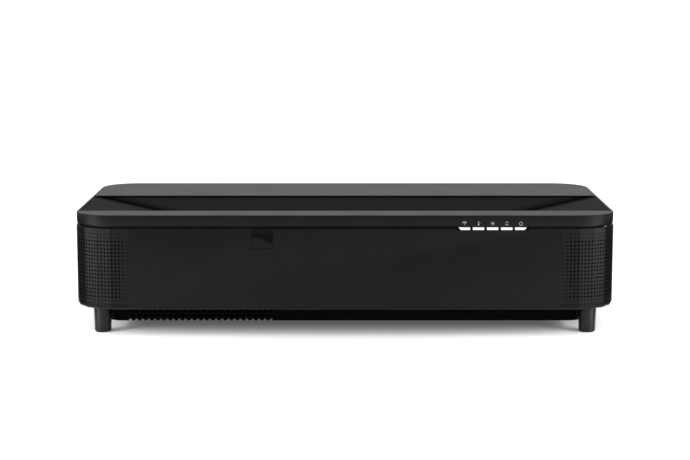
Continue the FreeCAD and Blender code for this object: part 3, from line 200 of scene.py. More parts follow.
def make_materials():
    made = {}
    made["body_plastic"] = moulded("body_plastic", (0.0034, 0.0034, 0.0036), 0.34, Specular_IOR_Level=0.12)
    lid = (0.0054, 0.0054, 0.0056)
    made["lid_plastic"] = moulded("lid_plastic", lid, 0.34, strength=0.12, Specular_IOR_Level=0.1)
    trough = (0.0036, 0.0036, 0.0037)
    made["trough_plastic"] = moulded("trough_plastic", trough, 0.5, grain=900, Specular_IOR_Level=0.012)
    # The ramp's and the shoulder plates' plastics have painted shade along their creases.
    made["ramp_crease_shaded"] = crease_shaded_plastic("ramp_crease_shaded", trough)
    made["shoulder_crease_shaded"] = crease_shaded_plastic("shoulder_crease_shaded", (0.005, 0.005, 0.0051))
    made["inner_plastic"] = moulded("inner_plastic", (0.004, 0.004, 0.0042), 0.55, Specular_IOR_Level=0.1)
    window = (0.0016, 0.0013, 0.0015)
    made["dark_window"] = moulded("dark_window", window, 0.16, strength=0.02, Specular_IOR_Level=0.12)
    made["foot_metal"] = turned_metal()
    rubber = (0.006, 0.006, 0.006)
    made["rubber"] = moulded("rubber", rubber, 0.8, grain=700, strength=0.5, Specular_IOR_Level=0.2)
    made["steel"] = machined("steel", (0.5, 0.5, 0.52), 0.3, (900, 900, 60))
    made["aluminium"] = machined("aluminium", (0.58, 0.59, 0.61), 0.38, (60, 900, 900))
    made["copper"] = machined("copper", (0.68, 0.32, 0.18), 0.3, (60, 900, 900))
    made["mirror_coat"] = machined("mirror_coat", (0.86, 0.88, 0.9), 0.08, (20, 20, 20))
    made["paper_medium"] = moulded("paper_medium", (0.62, 0.62, 0.58), 0.9, grain=500, strength=0.6)
    made["cone_paper"] = moulded("cone_paper", (0.02, 0.02, 0.022), 0.7, grain=350, strength=0.6)
    cloth = (0.0006, 0.0006, 0.0006)
    made["grille_cloth"] = moulded("grille_cloth", cloth, 0.95, grain=900, Specular_IOR_Level=0)
    made["light_guide"] = light_guide()
    made["print_ink"] = moulded("print_ink", (0.3, 0.3, 0.31), 0.55, grain=2500, strength=0.1)
    made["inlay_metal"] = machined("inlay_metal", (0.3, 0.3, 0.31), 0.34, (40, 2200, 2200))
    made["window_glass"] = coated_glass("window_glass", (0.62, 0.66, 0.72), 0.03)
    made["optical_glass"] = coated_glass("optical_glass", (0.9, 0.94, 0.97), 0.02)
    made["circuit_board"] = circuit_board()
    made["phosphor"] = phosphor()
    return made


def turned_metal():
    """Dark turned metal: fine rings round the foot, and an anisotropic gloss."""
    material = machined("foot_metal", (0.032, 0.032, 0.034), 0.36, (60, 60, 3000))
    tree = material.node_tree
    shader = tree.nodes["Principled BSDF"]
    shader.inputs["Anisotropic"].default_value = 0.9
    shader.inputs["Anisotropic Rotation"].default_value = 0.25
    tangent = tree.nodes.new("ShaderNodeTangent")
    tangent.direction_type = "RADIAL"
    tangent.axis = "Z"
    tree.links.new(tangent.outputs["Tangent"], shader.inputs["Tangent"])
    return material


def crease_shaded_plastic(name, color):
    """The trough's plastic with painted shade: its colour and its gloss go darker along the creases between
    the ramp and the shoulders.
    """
    gloss = 0.012
    reach = 20 * MM
    material, tree, shader = principled(name, color, 0.5)
    source = tree.nodes.new("ShaderNodeTexCoord")
    parts = tree.nodes.new("ShaderNodeSeparateXYZ")
    tree.links.new(source.outputs["Object"], parts.inputs["Vector"])
    run = Vector((CREASE_HALF - WINDOW_HALF, RAMP_BACK - RAMP_FOOT)).normalized()
    across = arithmetic(tree, "ABSOLUTE", parts.outputs["X"], 0)
    across = arithmetic(tree, "MULTIPLY_ADD", across, -run.y, WINDOW_HALF * run.y - RAMP_FOOT * run.x)
    along = arithmetic(tree, "MULTIPLY", parts.outputs["Y"], run.x)
    distance = arithmetic(tree, "ABSOLUTE", arithmetic(tree, "ADD", across, along), 0)
    share = ramped(tree, distance, 0, 1, 0, reach)
    # Painted shade: at the crease the colour falls to a quarter and the gloss to none, rising back over the
    # reach.
    deep = [0.25 * part for part in color]
    tree.links.new(tinted(tree, share, deep, color), shader.inputs["Base Color"])
    tree.links.new(ramped(tree, share, 0, gloss, 0, 1), shader.inputs["Specular IOR Level"])
    bumped(tree, shader, noise(tree, source.outputs["Object"], 900, 2), 0.25, GRAIN_DEPTH)
    return material


def arithmetic(tree, operation, first, second, third=0.0):
    """A math node; each of its values is a socket or a number."""
    node = tree.nodes.new("ShaderNodeMath")
    node.operation = operation
    for socket, given in zip(node.inputs, (first, second, third)):
        if isinstance(given, bpy.types.NodeSocket):
            tree.links.new(given, socket)
        else:
            socket.default_value = given
    return node.outputs["Value"]


def light_guide():
    """A milky bar lit from behind, its glow slightly uneven."""
    material, tree, shader = principled("light_guide", (0.2, 0.2, 0.21), 0.35)
    cloud = noise(tree, coordinates(tree), 90, 1)
    shader.inputs["Emission Color"].default_value = (0.95, 0.97, 1.0, 1)
    tree.links.new(ramped(tree, cloud, 0.85, 1.05), shader.inputs["Emission Strength"])
    bumped(tree, shader, cloud, 0.05, 0.05 * MM)
    return material


def coated_glass(name, color, roughness):
    """Glass with an anti-reflection coating, seen as a faint film colour."""
    material, tree, shader = principled(name, color, roughness, Transmission_Weight=0.85, IOR=1.45)
    shader.inputs["Thin Film Thickness"].default_value = 320
    dust = noise(tree, coordinates(tree), 240, 4)
    tree.links.new(ramped(tree, dust, roughness, roughness + 0.05), shader.inputs["Roughness"])
    return material


def circuit_board():
    """Green solder mask with a fine pattern of copper tracks under it."""
    material, tree, shader = principled("circuit_board", (0.01, 0.07, 0.035), 0.35, Coat_Weight=0.3)
    cells = tree.nodes.new("ShaderNodeTexVoronoi")
    cells.feature = "DISTANCE_TO_EDGE"
    cells.distance = "EUCLIDEAN"
    cells.inputs["Scale"].default_value = 260
    tree.links.new(coordinates(tree), cells.inputs["Vector"])
    tracks = ramped(tree, cells.outputs["Distance"], 1, 0, 0.02, 0.06)
    tree.links.new(tinted(tree, tracks, (0.01, 0.06, 0.03), (0.05, 0.17, 0.07)), shader.inputs["Base Color"])
    bumped(tree, shader, tracks, 0.2, GRAIN_DEPTH)
    return material


def phosphor():
    """A polished disc with a yellow ring near its rim."""
    material, tree, shader = principled("phosphor", (0.7, 0.7, 0.7), 0.3, 0.6)
    low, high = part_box("phosphor_wheel")
    centre = (low + high) / 2
    source = tree.nodes.new("ShaderNodeTexCoord")
    distance = tree.nodes.new("ShaderNodeVectorMath")
    distance.operation = "DISTANCE"
    distance.inputs[1].default_value = centre
    tree.links.new(source.outputs["Object"], distance.inputs[0])
    ring_start = 22 * MM
    ring = ramped(tree, distance.outputs["Value"], 0, 1, ring_start, ring_start + 0.5 * MM)
    grain = noise(tree, source.outputs["Object"], 1500, 2)
    bumped(tree, shader, grain, 0.2, LINE_DEPTH)
    tree.links.new(tinted(tree, ring, (0.66, 0.67, 0.68), (0.75, 0.62, 0.08)), shader.inputs["Base Color"])
    return material


MATERIALS = make_materials()


# ---------------------------------------------------------------- mesh helpers

def piece(name, mesh_build, body, slot, replaces=(), material=None, smooth=SMOOTH_ANGLE):
    """Turns a bmesh into a piece that rides on a body, and frees the bmesh."""
    bmesh.ops.recalc_face_normals(mesh_build, faces=mesh_build.faces)
    mesh = bpy.data.meshes.new(name)
    mesh_build.to_mesh(mesh)
    mesh_build.free()
    mesh.shade_smooth()
    mesh.set_sharp_from_angle(angle=smooth)
    made = bpy.data.objects.new(name, mesh)
    bpy.context.scene.collection.objects.link(made)
    made.data.materials.append(MATERIALS[material or slot])
    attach(made, body)
    if replaces:
        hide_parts(*replaces)
    return made


def loft(build, rings):
    """Joins closed rings of the same number of points with quads, and closes both ends."""
    made = [[build.verts.new(point) for point in ring] for ring in rings]
    for lower, upper in zip(made, made[1:]):
        for step in range(len(lower)):
            after = (step + 1) % len(lower)
            build.faces.new((lower[step], lower[after], upper[after], upper[step]))
    build.faces.new(made[0][::-1])
    build.faces.new(made[-1])


def slab(build, corners, lift):
    """A closed prism between a flat outline and the same outline moved by lift."""
    lift = Vector(lift)
    loft(build, [corners, [Vector(corner) + lift for corner in corners]])


def cuboid(build, low, high):
    """A closed box between two opposite corners."""
    sides = ((low[0], low[1]), (high[0], low[1]), (high[0], high[1]), (low[0], high[1]))
    slab(build, [Vector((x, y, low[2])) for x, y in sides], (0, 0, high[2] - low[2]))


def lathe(build, profile, centre, segments=72):
    """A closed upright body of revolution: profile is (radius, height) pairs, from axis to axis."""
    angles = [2 * math.pi * step / segments for step in range(segments)]
    rings = []
    for radius, height in profile:
        ring = [(radius * math.cos(turn), radius * math.sin(turn), height) for turn in angles]
        rings.append([centre + Vector(point) for point in ring])
    loft(build, rings)


def rounded_rectangle(half_x, half_y, radius, segments=24):
    """Anticlockwise outline of a rectangle with round corners."""
    points = []
    for corner, (side, end) in enumerate(((1, -1), (1, 1), (-1, 1), (-1, -1))):
        centre = Vector((side * (half_x - radius), end * (half_y - radius)))
        for step in range(segments + 1):
            turn = math.pi / 2 * (corner - 1 + step / segments)
            points.append(centre + radius * Vector((math.cos(turn), math.sin(turn))))
    return points


def faceted_corner(side, end, inset):
    """The five vertices of a faceted corner, from its front or back face round to its side."""
    turns = [math.radians(facing) for facing in (0, *FACINGS, 90)]
    total = sum(math.cos(turn) for turn in turns[1:-1])
    reach, fall = 0, 0
    vertices = []
    for before, after in zip(turns, turns[1:]):
        spread = 1 + math.cos(after - before)
        across = (math.sin(before) + math.sin(after)) / spread
        along = (math.cos(before) + math.cos(after)) / spread
        x = HALF_WIDTH - CORNER_SPAN * (1 - reach) - inset * across
        y = HALF_DEPTH - CORNER_SPAN * fall - inset * along
        vertices.append(Vector((side * x, end * y)))
        reach += math.cos(after) / total
        fall += math.sin(after) / total
    return vertices


def case_outline(inset):
    """The case's outline with its four faceted corners, moved inwards by inset."""
    right = faceted_corner(1, -1, inset) + faceted_corner(1, 1, inset)[::-1]
    left = faceted_corner(-1, 1, inset) + faceted_corner(-1, -1, inset)[::-1]
    return right + left


def at_height(outline, height):
    """A flat outline, lifted to a height."""
    return [Vector((point.x, point.y, height)) for point in outline]


def edge_rounding(radius, steps):
    """(inset, rise) pairs of a quarter round that starts on the underside."""
    turns = [math.pi / 2 * step / steps for step in range(steps + 1)]
    return [(radius * (1 - math.sin(turn)), radius * (1 - math.cos(turn))) for turn in turns]


def slice_off(build, point, normal):
    """Cuts a closed mesh with a plane, throws away the side that normal points to, and closes the cut."""
    geometry = build.verts[:] + build.edges[:] + build.faces[:]
    result = bmesh.ops.bisect_plane(
        build, geom=geometry, dist=1e-7, plane_co=point, plane_no=normal, clear_outer=True)
    edges = [item for item in result["geom_cut"] if isinstance(item, bmesh.types.BMEdge)]
    bmesh.ops.contextual_create(build, geom=edges)


def soften(build, keep, width, segments):
    """Bevels the edges that keep() picks by their two ends."""
    edges = [edge for edge in build.edges if keep(edge.verts[0].co, edge.verts[1].co)]
    bmesh.ops.bevel(build, geom=edges, offset=width, segments=segments, affect="EDGES", profile=0.5)


def carve(target, tool):
    """Cuts another object's mesh out of a piece, and removes that object."""
    modifier = target.modifiers.new("carve", "BOOLEAN")
    modifier.operation = "DIFFERENCE"
    modifier.object = tool
    modifier.solver = "EXACT"
    graph = bpy.context.evaluated_depsgraph_get()
    mesh = bpy.data.meshes.new_from_object(target.evaluated_get(graph))
    target.modifiers.remove(modifier)
    target.data = mesh
    bpy.data.objects.remove(tool)
    mesh.shade_smooth()
    mesh.set_sharp_from_angle(angle=SMOOTH_ANGLE)


def tool_object(build):
    """A bmesh as a plain object, to carve with."""
    bmesh.ops.recalc_face_normals(build, faces=build.faces)
    mesh = bpy.data.meshes.new("tool")
    build.to_mesh(mesh)
    build.free()
    made = bpy.data.objects.new("tool", mesh)
    bpy.context.scene.collection.objects.link(made)
    return made


def crisp(node):
    """Gives a carried-over CAD node welded, finely bevelled edges."""
    owner = frame["nodes"][node]
    weld = owner.modifiers.new("weld", "WELD")
    weld.merge_threshold = 1e-6
    bevel = owner.modifiers.new("edges", "BEVEL")
    bevel.width = CRISP_WIDTH
    bevel.segments = 2
    bevel.limit_method = "ANGLE"
    bevel.angle_limit = math.radians(40)
    bevel.harden_normals = True
    bevel.use_clamp_overlap = True


def dress(node, material):
    """Gives a carried-over CAD node its material."""
    data = frame["nodes"][node].data
    data.materials.clear()
    data.materials.append(MATERIALS[material])


# ---------------------------------------------------------------- lid

def lid_blank():
    """The whole lid's outside as a closed mesh, with both its edges rounded."""
    build = bmesh.new()
    rings = []
    for inset, rise in edge_rounding(LOWER_EDGE, 7):
        outline = rounded_rectangle(LID_HALF_WIDTH - inset, LID_HALF_DEPTH - inset, LID_RADIUS - inset)
        rings.append(at_height(outline, LID_LOW + rise))
    for inset, rise in edge_rounding(LID_TOP_EDGE, 4)[::-1]:
        outline = rounded_rectangle(LID_HALF_WIDTH - inset, LID_HALF_DEPTH - inset, LID_RADIUS - inset)
        rings.append(at_height(outline, LID_TOP - rise))
    loft(build, rings)
    return build


def crossing_edge(y):
    """Picks the edges of the lid's top face that run from side to side at a place along Y."""
    def keep(first, second):
        level = min(first.z, second.z) > LID_TOP - 1e-5
        return level and abs(first.y - y) < 1e-6 and abs(second.y - y) < 1e-6
    return keep


def front_rim():
    """The lid's front strip, with the trough's front wall hanging from it."""
    build = lid_blank()
    slice_off(build, (0, RIM_BACK, 0), (0, 1, 0))
    soften(build, crossing_edge(RIM_BACK), 0.6 * MM, 3)
    deep = RAMP_LOW - WALL
    edge = SIDE_TOP - WALL
    top = LID_TOP - OVERHANG
    corners = [
        (-TROUGH_HALF, edge), (-WINDOW_HALF, deep), (WINDOW_HALF, deep), (TROUGH_HALF, edge),
        (TROUGH_HALF, top), (-TROUGH_HALF, top),
    ]
    start = RIM_BACK - 0.05 * MM
    slab(build, [Vector((x, start, z)) for x, z in corners], (0, -WALL, 0))
    piece("front_rim_skin", build, "case", "lid_plastic", ["front_rim"])


def lid_edge_x(y):
    """Half the lid's width at a place along Y."""
    centre = -(LID_HALF_DEPTH - LID_RADIUS)
    if y >= centre:
        return LID_HALF_WIDTH
    return LID_HALF_WIDTH - LID_RADIUS + math.sqrt(LID_RADIUS ** 2 - (y - centre) ** 2)


def shoulder(side, name):
    """One side of the lid: its band with the lip, and the plate that slopes down to the ramp's crease."""
    arc_end = -(LID_HALF_DEPTH - LID_RADIUS)
    stations = [RIM_BACK + (arc_end - RIM_BACK) * step / 4 for step in range(5)] + [RAMP_BACK]
    lip = 0.3 * MM
    inner = TROUGH_HALF
    slope = (SIDE_TOP - RAMP_LOW) / (inner - WINDOW_HALF)
    band = LID_HALF_WIDTH - BAND_WIDTH
    band_top = SIDE_TOP - slope * (inner - band) - 0.5 * MM
    rings = []
    for y in stations:
        outer = lid_edge_x(y)
        section = [(outer - inset, LID_LOW + rise) for inset, rise in edge_rounding(LOWER_EDGE, 7)]
        section += [(outer - inset, LID_TOP - rise) for inset, rise in edge_rounding(LID_TOP_EDGE, 4)[::-1]]
        section += [(inner + lip, LID_TOP), (inner + 0.1 * MM, LID_TOP - 0.1 * MM), (inner, LID_TOP - lip)]
        section += [(inner, SIDE_TOP - 0.5 * MM), (band, band_top), (band, LID_LOW)]
        rings.append([Vector((side * x, y, z)) for x, z in section])
    build = bmesh.new()
    loft(build, rings)
    piece(name + "_band", build, "case", "lid_plastic", [name])
    plate = bmesh.new()
    corners = [
        Vector((side * inner, RIM_BACK, SIDE_TOP)), Vector((side * WINDOW_HALF, RIM_BACK, RAMP_LOW)),
        Vector((side * WINDOW_HALF, RAMP_FOOT, RAMP_LOW)), Vector((side * CREASE_HALF, RAMP_BACK, RAMP_TOP)),
        Vector((side * inner, RAMP_BACK, SIDE_TOP)),
    ]
    slab(plate, corners, (0, 0, -WALL))
    # The plate's plastic has painted shade along its crease.
    piece(name + "_plate", plate, "case", "lid_plastic", [name], material="shoulder_crease_shaded")


def trough_ramp():
    """The sloping plate between both shoulders."""
    build = bmesh.new()
    corners = [
        Vector((-CREASE_HALF, RAMP_BACK, RAMP_TOP)), Vector((-WINDOW_HALF, RAMP_FOOT, RAMP_LOW)),
        Vector((WINDOW_HALF, RAMP_FOOT, RAMP_LOW)), Vector((CREASE_HALF, RAMP_BACK, RAMP_TOP)),
    ]
    slab(build, corners, (0, 0, -WALL))
    # The ramp's plastic has painted shade along its creases.
    piece("trough_ramp_skin", build, "case", "trough_plastic", ["trough_ramp"], material="ramp_crease_shaded")


def top_cover():
    """The lid's back half with its overhanging front edge."""
    build = lid_blank()
    slice_off(build, (0, RAMP_BACK, 0), (0, -1, 0))
    soften(build, crossing_edge(RAMP_BACK), 0.8 * MM, 4)
    made = piece("top_cover_skin", build, "case", "lid_plastic", ["top_cover"])
    tool = bmesh.new()
    low = (-TROUGH_HALF, RAMP_BACK - MM, LID_LOW - MM)
    high = (TROUGH_HALF, RAMP_BACK + 4 * MM, LID_TOP - OVERHANG)
    cuboid(tool, low, high)
    carve(made, tool_object(tool))
    inner = bmesh.new()
    half_x, half_y, radius = [size - BAND_WIDTH for size in (LID_HALF_WIDTH, LID_HALF_DEPTH, LID_RADIUS)]
    outline = rounded_rectangle(half_x, half_y, radius, 12)
    outline = [Vector((point.x, max(point.y, RAMP_BACK + 7 * MM))) for point in outline]
    corners = []
    for point in at_height(outline, LID_LOW - MM):
        if not corners or (point - corners[-1]).length > 1e-6:
            corners.append(point)
    if (corners[0] - corners[-1]).length < 1e-6:
        corners.pop()
    slab(inner, corners, (0, 0, LID_TOP - WALL - LID_LOW + MM))
    carve(made, tool_object(inner))


# ---------------------------------------------------------------- body skin

def panel_rows():
    """Heights of the boundaries between rows of perforations, from the bottom up."""
    pitch = (LAST_ROW - FIRST_ROW) / (ROWS - 1)
    return [FIRST_ROW + (row - 0.5) * pitch for row in range(ROWS + 1)]


class CornerWall:
    """The wall that wraps a front corner: points on it are found by column step, height and depth."""

    def __init__(self, build, side):
        self.build = build
        self.made = {}
        front_x, wall_x = side * GRILLE_FRONT, side * HALF_WIDTH
        self.outer = [Vector((front_x, -HALF_DEPTH)), *faceted_corner(side, -1, 0)]
        self.outer.append(Vector((wall_x, GRILLE_SIDE)))
        self.inner = [Vector((front_x, -HALF_DEPTH + WALL)), *faceted_corner(side, -1, WALL)]
        self.inner.append(Vector((wall_x - side * WALL, GRILLE_SIDE)))
        spans = [len(FADE)] + [FACET_COLUMNS] * len(FACINGS) + [len(FADE)]
        self.stations = []
        for span, columns in enumerate(spans):
            steps = columns * CELL_STEPS
            for step in range(steps):
                pair = [line[span].lerp(line[span + 1], step / steps) for line in (self.outer, self.inner)]
                self.stations.append(pair)
        self.stations.append((self.outer[-1], self.inner[-1]))

    def point(self, across, height, depth):
        """A place at a fractional station; depth runs from 0 on the outside to 1 on the inside."""
        index = min(int(across), len(self.stations) - 2)
        share = across - index
        before, after = self.stations[index], self.stations[index + 1]
        face, back = [start.lerp(end, share) for start, end in zip(before, after)]
        place = face.lerp(back, depth)
        return Vector((place.x, place.y, height))

    def vertex(self, column, height, depth):
        """The vertex at a station, shared by the faces around it."""
        key = (column, height, depth)
        if key not in self.made:
            self.made[key] = self.build.verts.new(self.point(*key))
        return self.made[key]

    def square(self, columns, heights, depth):
        """The vertices round a cell, anticlockwise from its lowest first station."""
        border = [self.vertex(column, heights[0], depth) for column in columns[:-1]]
        border += [self.vertex(columns[-1], height, depth) for height in heights[:-1]]
        border += [self.vertex(column, heights[-1], depth) for column in columns[:0:-1]]
        border += [self.vertex(columns[0], height, depth) for height in heights[:0:-1]]
        return border

    def cell(self, columns, heights, radius):
        """One cell of the wall with a round hole through it."""
        turns = 4 * CELL_STEPS
        angles = [math.radians(225) + 2 * math.pi * step / turns for step in range(turns)]
        middle = columns[0] + CELL_STEPS / 2
        height = (heights[0] + heights[-1]) / 2
        stretch = CELL_STEPS / (heights[-1] - heights[0])
        rims = []
        for depth in (0, 1):
            border = self.square(columns, heights, depth)
            circle = []
            for turn in angles:
                place = (middle + radius * math.cos(turn) * stretch, height + radius * math.sin(turn), depth)
                circle.append(self.build.verts.new(self.point(*place)))
            self.band(border, circle)
            rims.append(circle)
        self.band(*rims)

    def band(self, first, second):
        """Joins two closed rows of vertices with quads."""
        for step in range(len(first)):
            after = (step + 1) % len(first)
            self.build.faces.new((first[step], first[after], second[after], second[step]))

    def strip(self, column, profile):
        """Quads between two neighbouring stations, along a closed profile of (height, depth) pairs."""
        for start, end in zip(profile, profile[1:]):
            corners = [(column, *start), (column + 1, *start), (column + 1, *end), (column, *end)]
            self.build.faces.new([self.vertex(*corner) for corner in corners])


def perforated_corner(side, name):
    """The perforated wall of a front corner, with real holes through it, and the cloth behind."""
    build = bmesh.new()
    wall = CornerWall(build, side)
    sizes = [*FADE[::-1], *[1] * (FACET_COLUMNS * len(FACINGS)), *FADE]
    levels = panel_rows()
    for row, (low, high) in enumerate(zip(levels, levels[1:])):
        heights = [low + (high - low) * step / CELL_STEPS for step in range(CELL_STEPS)] + [high]
        edge_row = row < 2 or row >= ROWS - 2
        for column, size in enumerate(sizes):
            columns = [column * CELL_STEPS + step for step in range(CELL_STEPS + 1)]
            wall.cell(columns, heights, (SMALL_HOLE if edge_row else HOLE) * size)
    rounding = [(CASE_TOP - rise, inset / WALL) for inset, rise in edge_rounding(PANEL_EDGE, 4)[::-1]]
    above = [(levels[-1], 0), *rounding, (CASE_TOP, 1), (levels[-1], 1)]
    below = [(levels[0], 0), (WALL_LOW, 0), (WALL_LOW, 1), (levels[0], 1)]
    for column in range(len(wall.stations) - 1):
        wall.strip(column, above)
        wall.strip(column, below)
    edges = [edge for edge in build.edges if edge.is_boundary]
    bmesh.ops.holes_fill(build, edges=edges, sides=0)
    piece(name + "_skin", build, "case", "body_plastic", [name], smooth=FACET_ANGLE)
    cloth = bmesh.new()
    near, far = [
        [face.lerp(back, depth) for face, back in zip(wall.outer, wall.inner)] for depth in (1.25, 1.45)
    ]
    slab(cloth, at_height(near + far[::-1], levels[0]), (0, 0, levels[-1] - levels[0]))
    piece(name + "_cloth", cloth, "case", "cone_paper", material="grille_cloth")


def front_panel():
    """The flat front, notched for the remote window and the status lights, its upper edge rounded."""
    window_low, window_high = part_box("remote_window")
    lights_low, lights_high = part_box("status_lights")
    left, right = lights_low.x - 2.6 * MM, lights_high.x + 2.6 * MM
    low = lights_low.z - 1.2 * MM
    outline = [
        (panel_low.x, WALL_LOW), (panel_high.x, WALL_LOW), (panel_high.x, CASE_TOP),
        (right, CASE_TOP), (right, low), (left, low), (left, CASE_TOP),
        (window_high.x, CASE_TOP), (window_high.x, window_low.z),
        (window_low.x, window_low.z), (window_low.x, CASE_TOP), (panel_low.x, CASE_TOP),
    ]
    build = bmesh.new()
    slab(build, [Vector((x, -HALF_DEPTH, z)) for x, z in outline], (0, WALL, 0))
    front = -HALF_DEPTH + 1e-6

    def upper_edge(first, second):
        return max(first.y, second.y) < front and min(first.z, second.z) > CASE_TOP - 1e-6

    soften(build, upper_edge, PANEL_EDGE, 4)
    piece("front_panel_skin", build, "case", "body_plastic", ["front_panel"])


def remote_window():
    """The dark window, set in its notch with a fine gap and round lower corners."""
    low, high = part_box("remote_window")
    gap = 0.45 * MM
    left, right = low.x + gap, high.x - gap
    bottom = low.z + gap
    radius = 1.2 * MM
    top = CASE_TOP - 0.2 * MM
    outline = [(left, top), *arc((left + radius, bottom + radius), radius, 180, 270, 8)]
    outline += [*arc((right - radius, bottom + radius), radius, 270, 360, 8), (right, top)]
    build = bmesh.new()
    front = -HALF_DEPTH + 0.3 * MM
    slab(build, [Vector((x, front, z)) for x, z in outline], (0, 2.4 * MM, 0))
    soften(build, lambda first, second: max(first.y, second.y) < front + 1e-6, 0.25 * MM, 2)
    piece("remote_window_lens", build, "case", "dark_window", ["remote_window"])


def base_tray_skin():
    """The bottom tray's outside, its lower edge rounded all round."""
    build = bmesh.new()
    rings = []
    for inset, rise in edge_rounding(LOWER_EDGE, 7):
        rings.append(at_height(case_outline(inset), CASE_LOW + rise))
    rings.append(at_height(case_outline(0), WALL_LOW))
    loft(build, rings)
    piece("base_tray_skin", build, "case", "body_plastic", ["base_tray"], smooth=FACET_ANGLE)


# ---------------------------------------------------------------- feet

def foot(body, node, pad_node):
    """A turned foot, or the fixed pair behind, with its rubber pad; a screw foot also has its thread."""
    low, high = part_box(node)
    pad_low, pad_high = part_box(pad_node)
    radius = (high.y - low.y) / 2
    pad = (pad_high.y - pad_low.y) / 2
    centre = Vector(((low.x + high.x) / 2, (low.y + high.y) / 2, 0))
    if body == "case":
        centres = [Vector((x, centre.y, 0)) for x in (radius - high.x, high.x - radius)]
        top = min(high.z, CASE_LOW)
    else:
        centres = [centre]
        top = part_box(node.replace("foot_", "foot_washer_"))[0].z
    axis, seat = 0.1 * MM, 3 * MM
    turned = [
        (axis, seat), (pad, seat), (pad, 1.2 * MM), (radius - 1.4 * MM, 1.2 * MM),
        (radius - 1 * MM, 1.5 * MM), (radius - 0.8 * MM, 2 * MM), (radius - 0.05 * MM, top - 1.2 * MM),
        (radius - 0.15 * MM, top - 0.4 * MM), (radius - 0.5 * MM, top),
    ]
    if high.z > CASE_LOW + MM:
        turned += screw_thread(top, high.z)
    turned.append((axis, turned[-1][1]))
    ridge = [
        (axis, seat), (pad - 0.1 * MM, seat), (pad - 0.1 * MM, 0.4 * MM), (pad - 0.5 * MM, 0),
        (5 * MM, 0), (4.7 * MM, 0.4 * MM), (axis, 0.4 * MM),
    ]
    metal = bmesh.new()
    rubber = bmesh.new()
    for place in centres:
        lathe(metal, turned, place)
        lathe(rubber, ridge, place)
    piece(node + "_turned", metal, body, "foot_metal", [node])
    piece(pad_node + "_moulded", rubber, body, "rubber", [pad_node])


def screw_thread(start, end):
    """The profile of a foot's threaded stem, its thread drawn as rings of the same pitch."""
    crest, root = 4 * MM, 3.55 * MM
    pitch = 1.25 * MM
    profile = [(crest, start)]
    height = start + 0.6 * MM
    while height < end - 1.4 * MM:
        profile += [(crest, height), (root, height + 0.6 * MM)]
        height += pitch
    return profile + [(3.6 * MM, end - 0.4 * MM), (3.2 * MM, end)]


# ---------------------------------------------------------------- small front details

def arc(centre, radius, start, end, steps=16):
    """Points along an arc about a flat centre, from one angle to another in degrees."""
    turns = [math.radians(start + (end - start) * step / steps) for step in range(steps + 1)]
    return [(centre[0] + radius * math.cos(turn), centre[1] + radius * math.sin(turn)) for turn in turns]


def printed(build, outline):
    """A thin print on the lid's front edge, its outline given as (x, z)."""
    y = -LID_HALF_DEPTH - 0.02 * MM
    slab(build, [Vector((x, y, z)) for x, z in outline], (0, 0.12 * MM, 0))


def printed_dot(build, centre, radius, points):
    printed(build, arc(centre, radius, 0, 360 - 360 / points, points - 1))


def printed_line(build, points, width):
    """A printed band of even width along points."""
    points = [Vector(point) for point in points]
    left, right = [], []
    for step, point in enumerate(points):
        before = points[max(step - 1, 0)]
        after = points[min(step + 1, len(points) - 1)]
        heading = (after - before).normalized()
        across = Vector((-heading.y, heading.x)) * width / 2
        left.append(point + across)
        right.append(point - across)
    printed(build, left + right[::-1])


def status_icons():
    """Five plain signs on the lid over the status lights: waves, thermometer, sun, split ring, switch."""
    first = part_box("status_lights")[0].x + 7.2 * MM
    pitch = 17.9 * MM
    z = LID_LOW + 5.4 * MM
    line = 0.55 * MM
    build = bmesh.new()

    base = (first, z - 1.6 * MM)
    printed_dot(build, base, 0.45 * MM, 16)
    for radius in (1.4 * MM, 2.7 * MM, 4.0 * MM):
        printed_line(build, arc(base, radius, 45, 135), line)

    bulb = (first + pitch, z - 1.4 * MM)
    printed_dot(build, bulb, 1.1 * MM, 24)
    printed_line(build, [bulb, (bulb[0], z + 2.4 * MM)], 0.9 * MM)
    for step in range(3):
        mark = z - 0.2 * MM + step * 0.95 * MM
        printed_line(build, [(bulb[0] + 1.0 * MM, mark), (bulb[0] + 1.9 * MM, mark)], 0.3 * MM)

    sun = Vector((first + 2 * pitch, z))
    printed_dot(build, sun, 1.1 * MM, 24)
    for step in range(8):
        turn = math.pi / 4 * step
        heading = Vector((math.cos(turn), math.sin(turn)))
        printed_line(build, [sun + heading * 1.7 * MM, sun + heading * 2.6 * MM], 0.4 * MM)

    ring = (first + 3 * pitch, z)
    for start in (20, 200):
        printed_line(build, arc(ring, 1.9 * MM, start, start + 140), line)

    switch = (first + 4 * pitch, z - 0.2 * MM)
    printed_line(build, arc(switch, 2.2 * MM, 125, 415, 28), line)
    printed_line(build, [(switch[0], z + 0.4 * MM), (switch[0], z + 2.6 * MM)], line)
    piece("status_icons", build, "case", "light_guide", material="print_ink")


def badge_bar():
    """A plain metal bar let into the rim, where a name would stand."""
    half_length, half_width, radius = 21.5 * MM, 1.6 * MM, 1.55 * MM
    middle = -LID_HALF_DEPTH + 20 * MM
    bottom = LID_TOP - 0.13 * MM
    build = bmesh.new()
    rings = []
    for inset, rise in ((0, 0), (0, 0.06 * MM), (0.1 * MM, 0.12 * MM)):
        ring = rounded_rectangle(half_length - inset, half_width - inset, radius - inset, 8)
        rings.append([Vector((point.x, point.y + middle, bottom + rise)) for point in ring])
    loft(build, rings)
    piece("badge_bar", build, "case", "steel", material="inlay_metal")


# ---------------------------------------------------------------- carried-over CAD nodes

